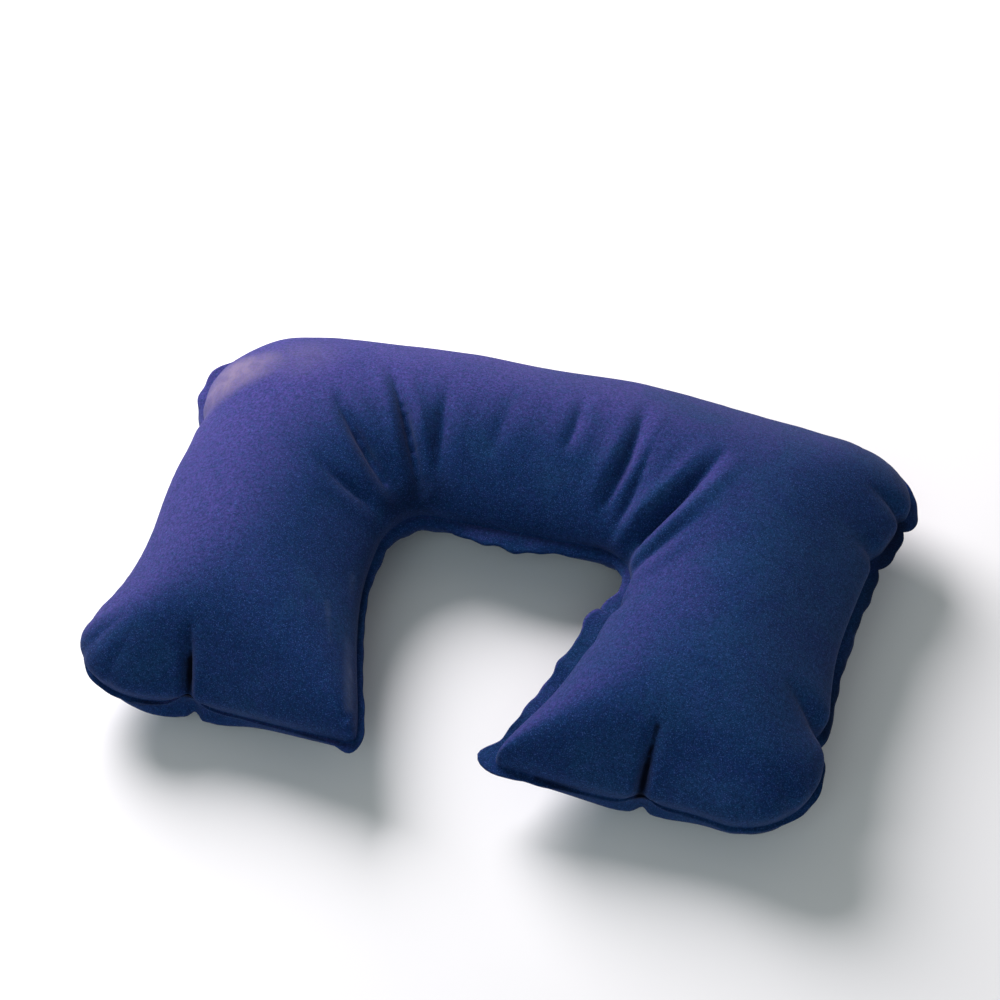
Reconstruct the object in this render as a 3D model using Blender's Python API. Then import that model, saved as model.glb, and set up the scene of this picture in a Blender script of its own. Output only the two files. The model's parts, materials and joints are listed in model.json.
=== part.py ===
"""Inflatable U-shaped camp pillow: two flocked film panels welded round their rim, and a push-in air valve.

Units are metres, +Z is up. The pillow lies flat on the floor (z = 0). The closed back of the U faces +Y, the two
arms reach towards -Y, and the plane x = 0 is its plane of symmetry. The valve sits under the seam, outside the back.
"""
import bpy
import bmesh
import numpy as np
from math import cos, sin, tau, radians
from mathutils import Matrix, Vector
from mathutils.geometry import delaunay_2d_cdt

MM = 0.001

# ---- driving dimensions: the weld line, seen from above; y runs from the back of the pillow towards the tips ----
BACK_HALF_WIDTH = 0.2120      # corner of the back, before it is rounded
FRONT_HALF_WIDTH = 0.1860     # outer corner of an arm's end
FRONT_Y = -0.2640
TIP_X, TIP_Y = 0.0425, -0.2650     # inner tip of an arm's end
NECK_HALF_WIDTH, NECK_Y = 0.0835, -0.1110   # inner corner where an arm meets the back
R_BACK, R_FRONT, R_TIP, R_NECK = 0.045, 0.038, 0.005, 0.024
BACK_BULGE = 0.0044           # the middle of the back edge stands out by this much
SIDE_BOW, END_BOW = 0.0121, 0.0039   # the outer side and the arm's end are drawn in by the air inside

FILM = 0.0008                 # flocked film thickness
GAP = 0.0003                  # clear space between neighbouring solids
WELD_GAP = 0.0007             # clear space between the two margins, which are fused on the real pillow
MARGIN = 0.009                # flat weld margin outside the weld line
SEAM_Z = 0.0430               # height of the seam plane over the floor
SWELL_UP, SWELL_DOWN = 0.2119, 0.2214   # dome height = swell * square root of the distance field
WELD_STEP = 0.0155            # spacing of the points along the weld line
GRID_STEP = 0.0165            # spacing of the points inside it
RINGS_IN = (0.0013, 0.0052)   # rows that follow the weld line inside it

# ---- valve ----
VALVE_SLOPE = radians(52)     # slope of the flat land that carries the valve
VALVE_IN, VALVE_DOWN = 0.0120, 0.0226   # land centre: inside the weld line, and below the seam plane
LAND_R, LAND_BLEND_R = 0.0154, 0.0240
HOLE_R = 0.0090
RING_R = 0.0145
NECK_R, BORE_R, LIP_R = 0.0050, 0.0034, 0.0060
NECK_LOW, LIP_LOW, LIP_TOP = -0.0125, 0.0003, 0.0013
HINGE_R, HINGE_U = 0.0099, 0.00115       # stopper hinge: distance from the valve's axis, and along it
FLAP_R, FLAP_THICK = 0.0043, 0.0005
SIDES = 32

for old in list(bpy.data.objects):
    bpy.data.objects.remove(old)


# ---- helpers -------------------------------------------------------------------------------------------------
def material(name, colour, roughness):
    mat = bpy.data.materials.new(name)
    mat.use_nodes = True
    shader = mat.node_tree.nodes["Principled BSDF"]
    shader.inputs["Base Color"].default_value = (*colour, 1.0)
    shader.inputs["Roughness"].default_value = roughness
    shader.inputs["Metallic"].default_value = 0.0
    mat.diffuse_color = (*colour, 1.0)
    return mat


def add_object(name, mesh, mat, parent=None):
    mesh.materials.append(mat)
    obj = bpy.data.objects.new(name, mesh)
    bpy.context.scene.collection.objects.link(obj)
    if parent is not None:
        obj.parent = parent
        obj.matrix_parent_inverse = parent.matrix_world.inverted()
    return obj


def turning_frame(name, place):
    """An empty that stands on a joint's axis."""
    empty = bpy.data.objects.new(name, None)
    bpy.context.scene.collection.objects.link(empty)
    empty.matrix_world = place
    bpy.context.view_layer.update()
    return empty


# ---- the pillow's outline ------------------------------------------------------------------------------------
def fillet(before, corner, after, radius, steps):
    """Arc that rounds a corner, from the side of `before` to the side of `after`."""
    u = (before - corner) / np.linalg.norm(before - corner)
    v = (after - corner) / np.linalg.norm(after - corner)
    opening = np.arccos(u @ v)
    run = radius / np.tan(opening / 2)
    centre = corner + (u + v) / np.linalg.norm(u + v) * radius / np.sin(opening / 2)
    start = np.arctan2(*(corner + u * run - centre)[::-1])
    stop = np.arctan2(*(corner + v * run - centre)[::-1])
    sweep = (stop - start + np.pi) % tau - np.pi
    angle = start + sweep * np.linspace(0, 1, steps + 1)
    return centre + radius * np.stack([np.cos(angle), np.sin(angle)], 1)


def edge(start, stop, bow):
    """Points between two corners, moved to the right of travel by bow(t)."""
    t = np.linspace(0, 1, 34)[1:-1, None]
    along = stop - start
    right = np.array([along[1], -along[0]]) / np.linalg.norm(along)
    return start + along * t + right * bow(t)


def fine_outline():
    """The weld line as a dense closed polygon, clockwise from the middle of the back."""
    corners = [np.array(p) for p in ((0.0, 0.0), (BACK_HALF_WIDTH, 0.0), (FRONT_HALF_WIDTH, FRONT_Y),
                                     (TIP_X, TIP_Y), (NECK_HALF_WIDTH, NECK_Y), (0.0, NECK_Y))]
    radii = (R_BACK, R_FRONT, R_TIP, R_NECK)
    arcs = [fillet(corners[i], corners[i + 1], corners[i + 2], r, 12) for i, r in enumerate(radii)]
    half = [np.array([[0.0, BACK_BULGE]]),
            edge(corners[0], arcs[0][0], lambda t: -BACK_BULGE * (1 - t ** 2)), arcs[0],
            edge(arcs[0][-1], arcs[1][0], lambda t: SIDE_BOW * 4 * t * (1 - t)), arcs[1],
            edge(arcs[1][-1], arcs[2][0], lambda t: END_BOW * 4 * t * (1 - t)), arcs[2],
            edge(arcs[2][-1], arcs[3][0], lambda t: 0 * t), arcs[3],
            edge(arcs[3][-1], corners[5], lambda t: 0 * t), corners[5][None]]
    right = np.concatenate(half)
    left = right[::-1][1:-1] * (-1, 1)
    return np.concatenate([right, left])


def resample(loop, step):
    """Evenly spaced points on a closed loop, closer together where it turns."""
    closed = np.concatenate([loop, loop[:1]])
    leg = np.diff(closed, axis=0)
    length = np.linalg.norm(leg, axis=1)
    heading = np.unwrap(np.arctan2(leg[:, 1], leg[:, 0]))
    turn = np.abs(np.diff(np.append(heading, heading[0] - tau)))
    pace = np.append(0, np.cumsum(length + 0.5 * 0.012 * (turn + np.roll(turn, 1))))
    count = 2 * round(pace[-1] / step / 2)
    stops = np.linspace(0, pace[-1], count, endpoint=False)
    return np.stack([np.interp(stops, pace, closed[:, k]) for k in (0, 1)], 1)


def offset(loop, distance):
    """The loop moved outwards; it runs clockwise, so outwards is to the left of travel."""
    leg = np.roll(loop, -1, 0) - np.roll(loop, 1, 0)
    normal = np.stack([-leg[:, 1], leg[:, 0]], 1)
    return loop + normal / np.linalg.norm(normal, axis=1)[:, None] * distance


def depth_inside(loop, points):
    """Distance to the loop, positive inside it and negative outside."""
    start, stop = loop, np.roll(loop, -1, 0)
    leg = stop - start
    inside = np.zeros(len(points), bool)
    nearest = np.full(len(points), np.inf)
    for a, b, ab in zip(start, stop, leg):
        t = np.clip((points - a) @ ab / (ab @ ab), 0, 1)
        nearest = np.minimum(nearest, np.linalg.norm(points - a - t[:, None] * ab, axis=1))
        crosses = (a[1] > points[:, 1]) != (b[1] > points[:, 1])
        slope = ab[0] / ab[1] if abs(ab[1]) > 1e-12 else 0.0
        inside ^= crosses & (points[:, 0] < a[0] + (points[:, 1] - a[1]) * slope)
    return np.where(inside, nearest, -nearest)


def swell_field(loop, points):
    """Smooth stand-in for the distance to the weld line: (half the sum of length / distance^3) ^ -1/2."""
    middle = (loop + np.roll(loop, -1, 0)) / 2
    length = np.linalg.norm(loop - np.roll(loop, -1, 0), axis=1)
    square = ((points[:, None] - middle[None]) ** 2).sum(2) + (0.3 * length) ** 2
    return (0.5 * (length / square ** 1.5).sum(1)) ** -0.5


FINE = fine_outline()
MIDDLE_Y = (offset(FINE, MARGIN)[:, 1].max() + offset(FINE, MARGIN)[:, 1].min()) / 2
FINE = FINE - (0.0, MIDDLE_Y)
WELD = resample(FINE, WELD_STEP)
BACK_Y = FINE[:, 1].max()

LAND_CENTRE = Vector((0.0, BACK_Y - VALVE_IN, SEAM_Z - VALVE_DOWN))
LAND_OUT = Vector((0.0, sin(VALVE_SLOPE), -cos(VALVE_SLOPE)))


# ---- panels --------------------------------------------------------------------------------------------------
def lattice():
    """Staggered rows of points that cover the pillow."""
    xs = np.arange(-14, 15) * GRID_STEP
    ys = (np.arange(-11, 12)) * GRID_STEP * 0.866
    x, y = np.meshgrid(xs, ys)
    x = x + (np.arange(len(ys)) % 2)[:, None] * GRID_STEP / 2
    return np.stack([x.ravel(), y.ravel()], 1)


def land_circle(radius):
    """A circle on the valve's land, seen from above, where the slope shortens it along y."""
    angle = np.arange(SIDES) * tau / SIDES
    return np.stack([radius * np.cos(angle),
                     LAND_CENTRE.y + radius * np.sin(angle) * cos(VALVE_SLOPE)], 1)


def land_radius(points):
    """Distance from the valve's axis for points that lie on the land's plane."""
    return np.hypot(points[:, 0], (points[:, 1] - LAND_CENTRE.y) / cos(VALVE_SLOPE))


def panel_points(with_land):
    rim = offset(WELD, MARGIN)
    inner = [offset(WELD, -d)[depth_inside(WELD, offset(WELD, -d)) > 0.85 * d] for d in RINGS_IN]
    grid = lattice()
    grid = grid[depth_inside(WELD, grid) > RINGS_IN[-1] + 0.4 * GRID_STEP]
    inside = np.concatenate(inner + [grid])
    loops = [rim, WELD]
    if with_land:
        inside = inside[land_radius(inside) > LAND_R + 0.004]
        inside = np.concatenate([inside, land_circle(LAND_R), land_circle(LAND_R * 0.8)])
        loops.append(land_circle(HOLE_R))
    return loops, inside


def panel_mesh(name, side):
    """One film: a flat margin, and a dome inside the weld line. `side` is +1 for the top, -1 for the bottom."""
    with_land = side < 0
    loops, inside = panel_points(with_land)
    points = np.concatenate(loops + [inside])
    borders, first = [], 0
    for loop in loops:
        n = len(loop)
        borders += [(first + i, first + (i + 1) % n) for i in range(n)]
        first += n
    flat, _, faces, *_ = delaunay_2d_cdt([Vector(p) for p in points], borders, [], 0, 1e-7)
    xy = np.array([v[:] for v in flat])
    centre = np.array([xy[list(f)].mean(0) for f in faces])
    keep = depth_inside(loops[0], centre) > 0
    if with_land:
        keep &= land_radius(centre) > HOLE_R * cos(radians(180 / SIDES))
    on_dome = depth_inside(WELD, xy) > 1e-5
    height = np.zeros(len(xy))
    height[on_dome] = (SWELL_UP if side > 0 else SWELL_DOWN) * np.sqrt(swell_field(FINE, xy[on_dome]))
    if with_land:
        reach = land_radius(xy)
        plane = VALVE_DOWN + (LAND_CENTRE.y - xy[:, 1]) * np.tan(VALVE_SLOPE) - WELD_GAP / 2 - FILM
        fade = np.clip((LAND_BLEND_R - reach) / (LAND_BLEND_R - LAND_R), 0, 1)
        share = np.where(on_dome, fade ** 2 * (3 - 2 * fade), 0)
        height += (plane - height) * share
    z = np.maximum(SEAM_Z + side * (WELD_GAP / 2 + FILM + height), 0.0)
    turn = 1 if side > 0 else -1
    mesh = bpy.data.meshes.new(name)
    kept = []
    for face, wanted in zip(faces, keep):
        a, b, c = (xy[i] for i in face)
        left_turning = (b[0] - a[0]) * (c[1] - a[1]) > (b[1] - a[1]) * (c[0] - a[0])
        if wanted:
            kept.append(tuple(face) if left_turning == (turn > 0) else tuple(face)[::-1])
    mesh.from_pydata(np.column_stack([xy, z]).tolist(), [], kept)
    bm = bmesh.new()
    bm.from_mesh(mesh)
    bmesh.ops.delete(bm, geom=[v for v in bm.verts if not v.link_faces], context="VERTS")
    bm.to_mesh(mesh)
    bm.free()
    mesh.shade_smooth()
    return mesh


def panel(name, side, mat):
    obj = add_object(name, panel_mesh(name, side), mat)
    wall = obj.modifiers.new("film", "SOLIDIFY")
    wall.thickness = FILM
    wall.offset = -1
    wall.use_even_offset = True
    return obj


# ---- valve ---------------------------------------------------------------------------------------------------
VALVE_PLACE = Matrix.Translation(LAND_CENTRE) @ Matrix((
    (1, 0, 0, 0),
    (0, -cos(VALVE_SLOPE), sin(VALVE_SLOPE), 0),
    (0, -sin(VALVE_SLOPE), -cos(VALVE_SLOPE), 0),
    (0, 0, 0, 1)))


def turned(profile):
    """Closed ring or plug turned about the valve's axis from (radius, height) points; radius 0 is a pole."""
    bm = bmesh.new()
    rows = []
    for r, u in profile:
        count = SIDES if r > 0 else 1
        rows.append([bm.verts.new((r * cos(tau * k / SIDES), r * sin(tau * k / SIDES), u)) for k in range(count)])
    pairs = list(zip(rows, rows[1:]))
    if profile[0][0] > 0:
        pairs.append((rows[-1], rows[0]))
    for low, high in pairs:
        for k in range(SIDES):
            j = (k + 1) % SIDES
            corners = [low[k % len(low)], low[j % len(low)], high[j % len(high)], high[k % len(high)]]
            bm.faces.new(list(dict.fromkeys(corners)))
    bmesh.ops.recalc_face_normals(bm, faces=bm.faces)
    return bm


def add_block(bm, low, high):
    """A box inside the same mesh, from its lowest to its highest corner."""
    made = bmesh.ops.create_cube(bm, size=1.0)["verts"]
    size = Vector(high) - Vector(low)
    bmesh.ops.scale(bm, vec=size, verts=made)
    bmesh.ops.translate(bm, vec=(Vector(high) + Vector(low)) / 2, verts=made)


def to_mesh(bm, name):
    mesh = bpy.data.meshes.new(name)
    bm.transform(VALVE_PLACE)
    bm.to_mesh(mesh)
    bm.free()
    mesh.shade_smooth()
    mesh.set_sharp_from_angle(angle=radians(35))
    return mesh


def with_tab(obj, low, high):
    """Unites a flat tab with a turned piece."""
    bm = bmesh.new()
    add_block(bm, low, high)
    tab = bpy.data.objects.new(obj.name + "_tab", to_mesh(bm, obj.name + "_tab"))
    bpy.context.scene.collection.objects.link(tab)
    tab.hide_render = True
    tab.display_type = "WIRE"
    union = obj.modifiers.new("tab", "BOOLEAN")
    union.operation = "UNION"
    union.object = tab
    union.solver = "EXACT"
    tab.parent = obj.parent
    if obj.parent is not None:
        tab.matrix_parent_inverse = obj.parent.matrix_world.inverted()


def valve_ring(mat):
    low, high = -FILM - GAP - 0.001, -FILM - GAP
    add_object("valve_ring", to_mesh(turned([(HOLE_R, low), (RING_R, low), (RING_R, high), (HOLE_R, high)]),
                                     "valve_ring"), mat)


def valve_web(mat):
    """Thin cone that folds in when the neck is pushed down into the pillow."""
    outer, wall = HOLE_R - GAP, 0.0008
    inner = NECK_R + GAP
    high, low = -0.0012, NECK_LOW + 0.0012
    profile = [(outer, high), (outer - wall, high), (inner, low + 0.0008), (inner, low),
               (inner + wall, low), (outer, high - 0.0009)]
    add_object("valve_web", to_mesh(turned(profile), "valve_web"), mat)


def valve_neck(mat, slide):
    profile = [(BORE_R, NECK_LOW), (NECK_R + 0.0011, NECK_LOW), (NECK_R + 0.0011, NECK_LOW + 0.0008),
               (NECK_R, NECK_LOW + 0.0008), (NECK_R, LIP_LOW), (LIP_R, LIP_LOW), (LIP_R, LIP_TOP - 0.0002),
               (LIP_R - 0.0002, LIP_TOP), (BORE_R + 0.0002, LIP_TOP), (BORE_R, LIP_TOP - 0.0002)]
    obj = add_object("valve_neck", to_mesh(turned(profile), "valve_neck"), mat, slide)
    with_tab(obj, (LIP_R - 0.0008, -0.0020, LIP_LOW + 0.0001), (HINGE_R - 0.0011, 0.0020, LIP_TOP - 0.0004))


def stopper(mat, hinge):
    """Plug, head and tab. The plug's side is the arc that clears the bore while the stopper swings."""
    low, base, top = -0.0034, LIP_TOP + GAP, LIP_TOP + GAP + 0.0014
    reach = HINGE_R + BORE_R - GAP
    side = [(np.sqrt(reach ** 2 - (HINGE_U - u) ** 2) - HINGE_R, u) for u in (low, -0.0018, -0.0003, LIP_TOP)]
    profile = [(0.0, low)] + side + [(side[-1][0], base), (LIP_R - 0.0004, base), (LIP_R - 0.0004, top - 0.0003),
                                     (LIP_R - 0.0007, top), (0.0, top)]
    obj = add_object("stopper", to_mesh(turned(profile), "stopper"), mat, hinge)
    with_tab(obj, (LIP_R - 0.0010, -0.0020, base + 0.0001), (HINGE_R - 0.0011, 0.0020, base + 0.0007))


def stopper_strap(mat, hinge):
    """Half-round strip that joins the two tabs; it bends about the hinge line at its middle."""
    outer, inner, half_width = 0.0010, 0.0004, 0.0020
    steps = 10
    bm = bmesh.new()
    loop = []
    for radius, angles in ((outer, range(steps + 1)), (inner, range(steps, -1, -1))):
        for k in angles:
            a = radians(-70 + 140 * k / steps)
            loop.append((HINGE_R - 0.0002 + radius * cos(a), HINGE_U + radius * sin(a)))
    ends = [[bm.verts.new((r, y, u)) for r, u in loop] for y in (-half_width, half_width)]
    for end in ends:
        for k in range(steps):
            bm.faces.new((end[k], end[k + 1], end[-2 - k], end[-1 - k]))
    for k in range(len(loop)):
        j = (k + 1) % len(loop)
        bm.faces.new((ends[0][k], ends[0][j], ends[1][j], ends[1][k]))
    bmesh.ops.recalc_face_normals(bm, faces=bm.faces)
    add_object("stopper_strap", to_mesh(bm, "stopper_strap"), mat, hinge)


def check_flap(mat, hinge):
    top = NECK_LOW - GAP
    profile = [(0.0, top - FLAP_THICK), (FLAP_R, top - FLAP_THICK), (FLAP_R, top), (0.0, top)]
    add_object("check_flap", to_mesh(turned(profile), "check_flap"), mat, hinge)


# ---- assembly ------------------------------------------------------------------------------------------------
FLOCK_TOP = material("flocked_film_top", (0.045, 0.050, 0.160), 0.85)
FLOCK_BASE = material("flocked_film_base", (0.040, 0.048, 0.150), 0.85)
VINYL_RING = material("valve_ring_vinyl", (0.025, 0.030, 0.085), 0.45)
VINYL_WEB = material("valve_web_vinyl", (0.030, 0.035, 0.095), 0.40)
VINYL_NECK = material("valve_neck_vinyl", (0.028, 0.033, 0.090), 0.35)
VINYL_STOPPER = material("stopper_vinyl", (0.028, 0.033, 0.090), 0.35)
VINYL_STRAP = material("stopper_strap_vinyl", (0.028, 0.033, 0.090), 0.35)
CLEAR_FLAP = material("check_flap_film", (0.60, 0.62, 0.65), 0.25)

panel("upper_panel", 1, FLOCK_TOP)
panel("lower_panel", -1, FLOCK_BASE)
valve_ring(VINYL_RING)
valve_web(VINYL_WEB)
SLIDE = turning_frame("neck_slide_line", VALVE_PLACE)
STOPPER_HINGE = turning_frame("stopper_hinge_line", VALVE_PLACE @ Matrix.Translation((HINGE_R, 0, HINGE_U)))
FLAP_HINGE = turning_frame("flap_hinge_line",
                           VALVE_PLACE @ Matrix.Translation((FLAP_R, 0, NECK_LOW - GAP)))
valve_neck(VINYL_NECK, SLIDE)
stopper(VINYL_STOPPER, STOPPER_HINGE)
stopper_strap(VINYL_STRAP, STOPPER_HINGE)
check_flap(CLEAR_FLAP, FLAP_HINGE)
for hinge in (STOPPER_HINGE, FLAP_HINGE):
    hinge.parent = SLIDE
    hinge.matrix_parent_inverse = SLIDE.matrix_world.inverted()
bpy.context.view_layer.update()
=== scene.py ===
"""The looks of an inflatable U-shaped camp pillow: flocked film panels, weld margin, folds and a push-in valve."""
import json
from math import cos, pi, radians, sin, tau

import bmesh
import bpy
import numpy as np
from mathutils import Matrix, Vector
from mathutils.geometry import delaunay_2d_cdt


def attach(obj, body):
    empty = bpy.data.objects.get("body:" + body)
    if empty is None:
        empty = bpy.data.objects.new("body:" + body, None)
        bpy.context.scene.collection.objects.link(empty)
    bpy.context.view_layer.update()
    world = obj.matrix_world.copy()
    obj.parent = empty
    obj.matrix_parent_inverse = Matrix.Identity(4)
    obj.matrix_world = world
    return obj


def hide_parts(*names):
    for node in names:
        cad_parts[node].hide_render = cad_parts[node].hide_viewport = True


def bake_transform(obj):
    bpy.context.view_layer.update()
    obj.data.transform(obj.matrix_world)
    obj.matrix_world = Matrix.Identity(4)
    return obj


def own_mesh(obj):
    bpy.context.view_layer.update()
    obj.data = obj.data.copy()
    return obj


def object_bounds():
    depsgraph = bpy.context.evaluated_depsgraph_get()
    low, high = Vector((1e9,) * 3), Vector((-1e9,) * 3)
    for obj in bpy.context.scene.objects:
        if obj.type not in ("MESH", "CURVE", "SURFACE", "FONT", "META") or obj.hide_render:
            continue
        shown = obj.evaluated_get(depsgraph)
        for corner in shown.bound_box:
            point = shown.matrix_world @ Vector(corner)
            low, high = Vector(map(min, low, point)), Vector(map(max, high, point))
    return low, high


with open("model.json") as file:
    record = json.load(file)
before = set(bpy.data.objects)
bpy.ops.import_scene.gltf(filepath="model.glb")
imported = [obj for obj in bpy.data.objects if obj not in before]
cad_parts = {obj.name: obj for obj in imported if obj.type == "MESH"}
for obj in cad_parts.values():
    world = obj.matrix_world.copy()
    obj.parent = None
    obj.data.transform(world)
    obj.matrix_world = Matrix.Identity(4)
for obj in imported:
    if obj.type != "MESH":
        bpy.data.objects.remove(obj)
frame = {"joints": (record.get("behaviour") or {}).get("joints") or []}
CAD_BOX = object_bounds()
JOINTS = {joint["name"]: joint for joint in frame["joints"]}

bl_info = {
    "name": "Camp pillow looks",
    "version": (1, 0, 0),
    "blender": (4, 5, 0),
    "location": "3D View > Sidebar > Camp pillow",
    "description": "Makes the flocked panels, the weld margin and the air valve of an inflatable camp pillow",
    "category": "Object",
}

MM = 0.001
UP, DOWN = 1, -1
LAYER = 0.55 * MM   # outer face of a panel's margin from the seam plane

# Folds, each from its faint outer end to its deep inner end: x, y of both ends and of the middle, then depth and
# half-width, all in millimetres.
TOP_FOLDS = (
    ((-110, 14), (-92, 6), (-74, 3), 3.4, 3.8),
    ((-114, 62), (-94, 39), (-70, 18), 7.5, 4.0),
    ((-92, 94), (-72, 61), (-53, 26), 7.5, 3.6),
    ((-53, 92), (-48, 60), (-44, 34), 2.8, 5.0),
    ((-13, 98), (-14, 70), (-16, 48), 1.0, 5.0),
    ((23, 108), (26, 80), (25, 58), 1.7, 3.4),
    ((58, 104), (61, 68), (53, 33), 5.0, 4.2),
    ((72, 80), (69, 50), (62, 25), 3.6, 3.6),
    ((111, 75), (97, 43), (70, 11), 8.5, 4.6),
    ((108, 26), (92, 12), (75, 0), 3.2, 4.0),
)
BASE_FOLDS = (
    ((-118, 40), (-95, 28), (-72, 14), 5.5, 4.6),
    ((-84, 90), (-68, 56), (-54, 26), 5.0, 4.2),
    ((-30, 88), (-28, 62), (-27, 38), 2.2, 4.8),
    ((40, 92), (42, 62), (42, 34), 4.2, 4.2),
    ((112, 66), (92, 38), (68, 18), 6.5, 4.6),
    ((116, 8), (96, 6), (76, 2), 3.2, 4.2),
)
# Short folds that end at the weld, in both panels: x, y of the inner and of the weld end, depth and half-width.
PUCKERS = (
    ((-138, -101), (-134, -122), 12.0, 2.6),
    ((113, -99), (110, -124), 12.0, 2.5),
    ((168, -60), (190, -77), 5.0, 4.4),
    ((186, 80), (204, 77), 3.4, 3.6),
    ((184, 42), (202, 45), 3.2, 4.0),
    ((-186, 50), (-203, 46), 2.6, 4.4),
    ((-172, -104), (-184, -116), 1.8, 2.6),
    ((-164, -112), (-172, -126), 1.6, 2.4),
    ((-178, -94), (-190, -102), 1.5, 2.4),
    ((158, -112), (164, -128), 1.7, 2.6),
    ((170, -102), (180, -116), 1.8, 2.6),
    ((178, 112), (190, 122), 2.0, 3.2),
    ((-176, 112), (-188, 124), 1.6, 3.4),
    ((84, -16), (74, -22), 2.6, 3.0),
)
BASE_PUCKER = 0.35   # share of a pucker's depth in the base panel
# Places where the weld itself is drawn in: x, y, depth, half-width and how far it is raised there.
NOTCHES = (
    (-134, -135, 3.0, 8.0, 8.0),
    (111, -135, 2.5, 7.0, 5.0),
    (191, -78, 5.5, 6.5, 1.0),
    (207, 76, 3.6, 5.0, 0.6),
    (203, 44, 3.4, 5.5, 0.6),
    (-203, 46, 2.6, 6.0, 0.0),
    (-205, 84, 1.8, 5.0, 0.0),
    (66, -22, 2.6, 4.0, 0.4),
    (60, -46, 1.4, 4.0, 0.0),
)
# How the rim stands, by place: x, y, width of the margin, its droop in degrees, and how far the top panel and the
# base panel bulge out over the weld.
RIM = (
    (0, 134, 6.0, 25, 5.0, 3.5),
    (-110, 134, 6.0, 25, 4.0, 3.0),
    (110, 134, 6.0, 20, 4.0, 3.0),
    (-176, 134, 5.0, 20, 2.0, 2.0),
    (-206, 92, 11.0, -5, 0.0, 2.0),
    (-207, 52, 5.0, 45, 2.5, 3.0),
    (-197, -20, 4.5, 50, 4.0, 3.0),
    (-190, -78, 4.5, 35, 4.5, 3.5),
    (-186, -120, 2.6, 10, 5.0, 0.0),
    (-134, -124, 1.8, 0, 5.0, 8.0),
    (-84, -134, 1.4, 0, 4.5, 0.5),
    (-42, -133, 3.6, 0, 1.0, 0.0),
    (-58, -80, 3.6, 20, 2.5, 2.0),
    (-80, 0, 4.5, 30, 2.5, 2.0),
    (-46, 23, 6.0, 25, 3.0, 2.0),
    (6, 23, 13.5, 5, 1.5, 2.0),
    (48, 22, 6.0, 30, 3.0, 2.0),
    (84, 2, 3.0, 20, 2.0, 2.0),
    (73, -30, 15.0, -6, 1.0, 2.0),
    (66, -58, 11.5, -4, 1.0, 2.0),
    (56, -90, 10.5, -4, 1.0, 2.0),
    (42, -124, 5.0, -2, 0.5, 1.0),
    (78, -134, 1.2, 5, 3.0, 0.0),
    (111, -125, 1.4, 0, 4.5, 6.0),
    (150, -133, 1.6, 10, 4.5, 0.0),
    (184, -116, 2.8, 10, 4.5, 0.5),
    (190, -78, 4.5, 20, 4.0, 3.0),
    (197, -10, 7.0, 20, 4.0, 3.5),
    (206, 56, 7.0, 10, 3.5, 3.0),
    (202, 116, 6.0, 5, 2.0, 2.0),
)
RIM_REACH = 26.0
# How far the seam sinks towards the ends of the arms: x, y of each end's middle, sink and reach.
SINKS = ((-120, -142, 17.0, 72.0), (110, -142, 16.0, 72.0))
SINK_FADE = 30.0   # the sink has faded where a panel is this high over the seam
# Where the margin runs out to a point: x, y, how far its edge is pulled along x and y, and half-width.
POINTED = ((-42, -134, 3.5, -4.0, 3.2), (37, -125, -8.0, 0.5, 4.0))
# How the blown-up pillow has shifted in plan from its flat pattern: x, y, shift along x and y.
SHIFTS = (
    (-186, -124, -11.0, -5.0),
    (-150, -134, 0.0, 2.5),
    (-206, -10, -6.5, 0.0),
    (-207, 72, 2.0, 0.0),
    (-200, 122, 8.0, -7.0),
    (-60, 134, 0.0, 3.0),
    (50, 134, 0.0, 3.5),
    (140, 134, 0.0, -3.5),
    (188, 128, -2.0, -4.0),
    (214, 104, 4.5, 2.0),
    (204, 72, 4.0, 0.0),
    (202, 6, 6.0, 0.0),
    (192, -62, 6.5, 0.0),
    (184, -116, 3.5, 0.0),
    (130, -134, 1.0, 5.0),
    (42, -134, -8.0, 7.0),
    (120, -134, 0.0, 1.5),
    (-120, -134, 0.0, 3.5),
    (-44, -130, 5.0, 0.5),
    (-82, 8, 11.5, -2.0),
    (-60, -70, 0.5, 0.0),
)
SHIFT_REACH = 40.0
# Pale spots of flock laid flat by handling, placed on the lit back-left corner so that they are also a painted
# highlight: x, y, z, reach and amount.
WORN_AND_HIGHLIGHT_SPOTS = (
    (-187, 72, 70, 26, 0.80),
    (-172, 78, 78, 24, 0.55),
    (-196, 58, 60, 20, 0.45),
    (-144, 90, 84, 34, 0.20),
)
# Painted shade: dark lines where shade falls in the darts and folds, in the inner corners and along the seam under
# the domes' overhang: start, end, reach and amount.
PAINTED_SHADE_LINES = (
    ((-137, -102, 65), (-136, -111, 50), 3.4, 0.80),
    ((-136, -111, 50), (-134, -126, 34), 5.0, 0.97),
    ((113, -102, 65), (112, -109, 52), 3.4, 0.80),
    ((112, -109, 52), (110, -126, 30), 5.0, 0.97),
    ((-53, 62, 80), (-46, 36, 60), 4.5, 0.45),
    ((-66, 12, 56), (-40, 32, 56), 16.0, 0.50),
    ((-40, 32, 56), (20, 32, 54), 9.0, 0.40),
    ((-40, 27, 46), (20, 27, 46), 6.0, 0.70),
    ((20, 27, 46), (72, 20, 46), 6.0, 0.60),
    ((-74, 0, 45), (-50, -118, 39), 4.0, 0.40),
    ((210, 76, 43), (204, 2, 43), 10.0, 0.60),
    ((204, 2, 43), (196, -68, 40), 10.0, 0.60),
    ((194, -90, 37), (190, -122, 31), 8.0, 0.60),
    ((190, -122, 31), (150, -138, 27), 5.0, 0.50),
    ((-165, -134, 29), (-56, -136, 33), 4.0, 0.50),
    ((58, -128, 34), (150, -137, 27), 3.5, 0.50),
)
# Pale lines along a ridge, partly flock worn thin and partly a painted highlight where the light catches the
# ridge: start, end, reach and amount.
RIDGE_WEAR_AND_HIGHLIGHT = (
    ((-66, -44, 59), (-56, -76, 58), 5.0, 0.22),
    ((-56, -76, 58), (-46, -122, 50), 6.0, 0.42),
    ((-72, -70, 66), (-62, -92, 64), 3.5, 0.22),
)


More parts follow.
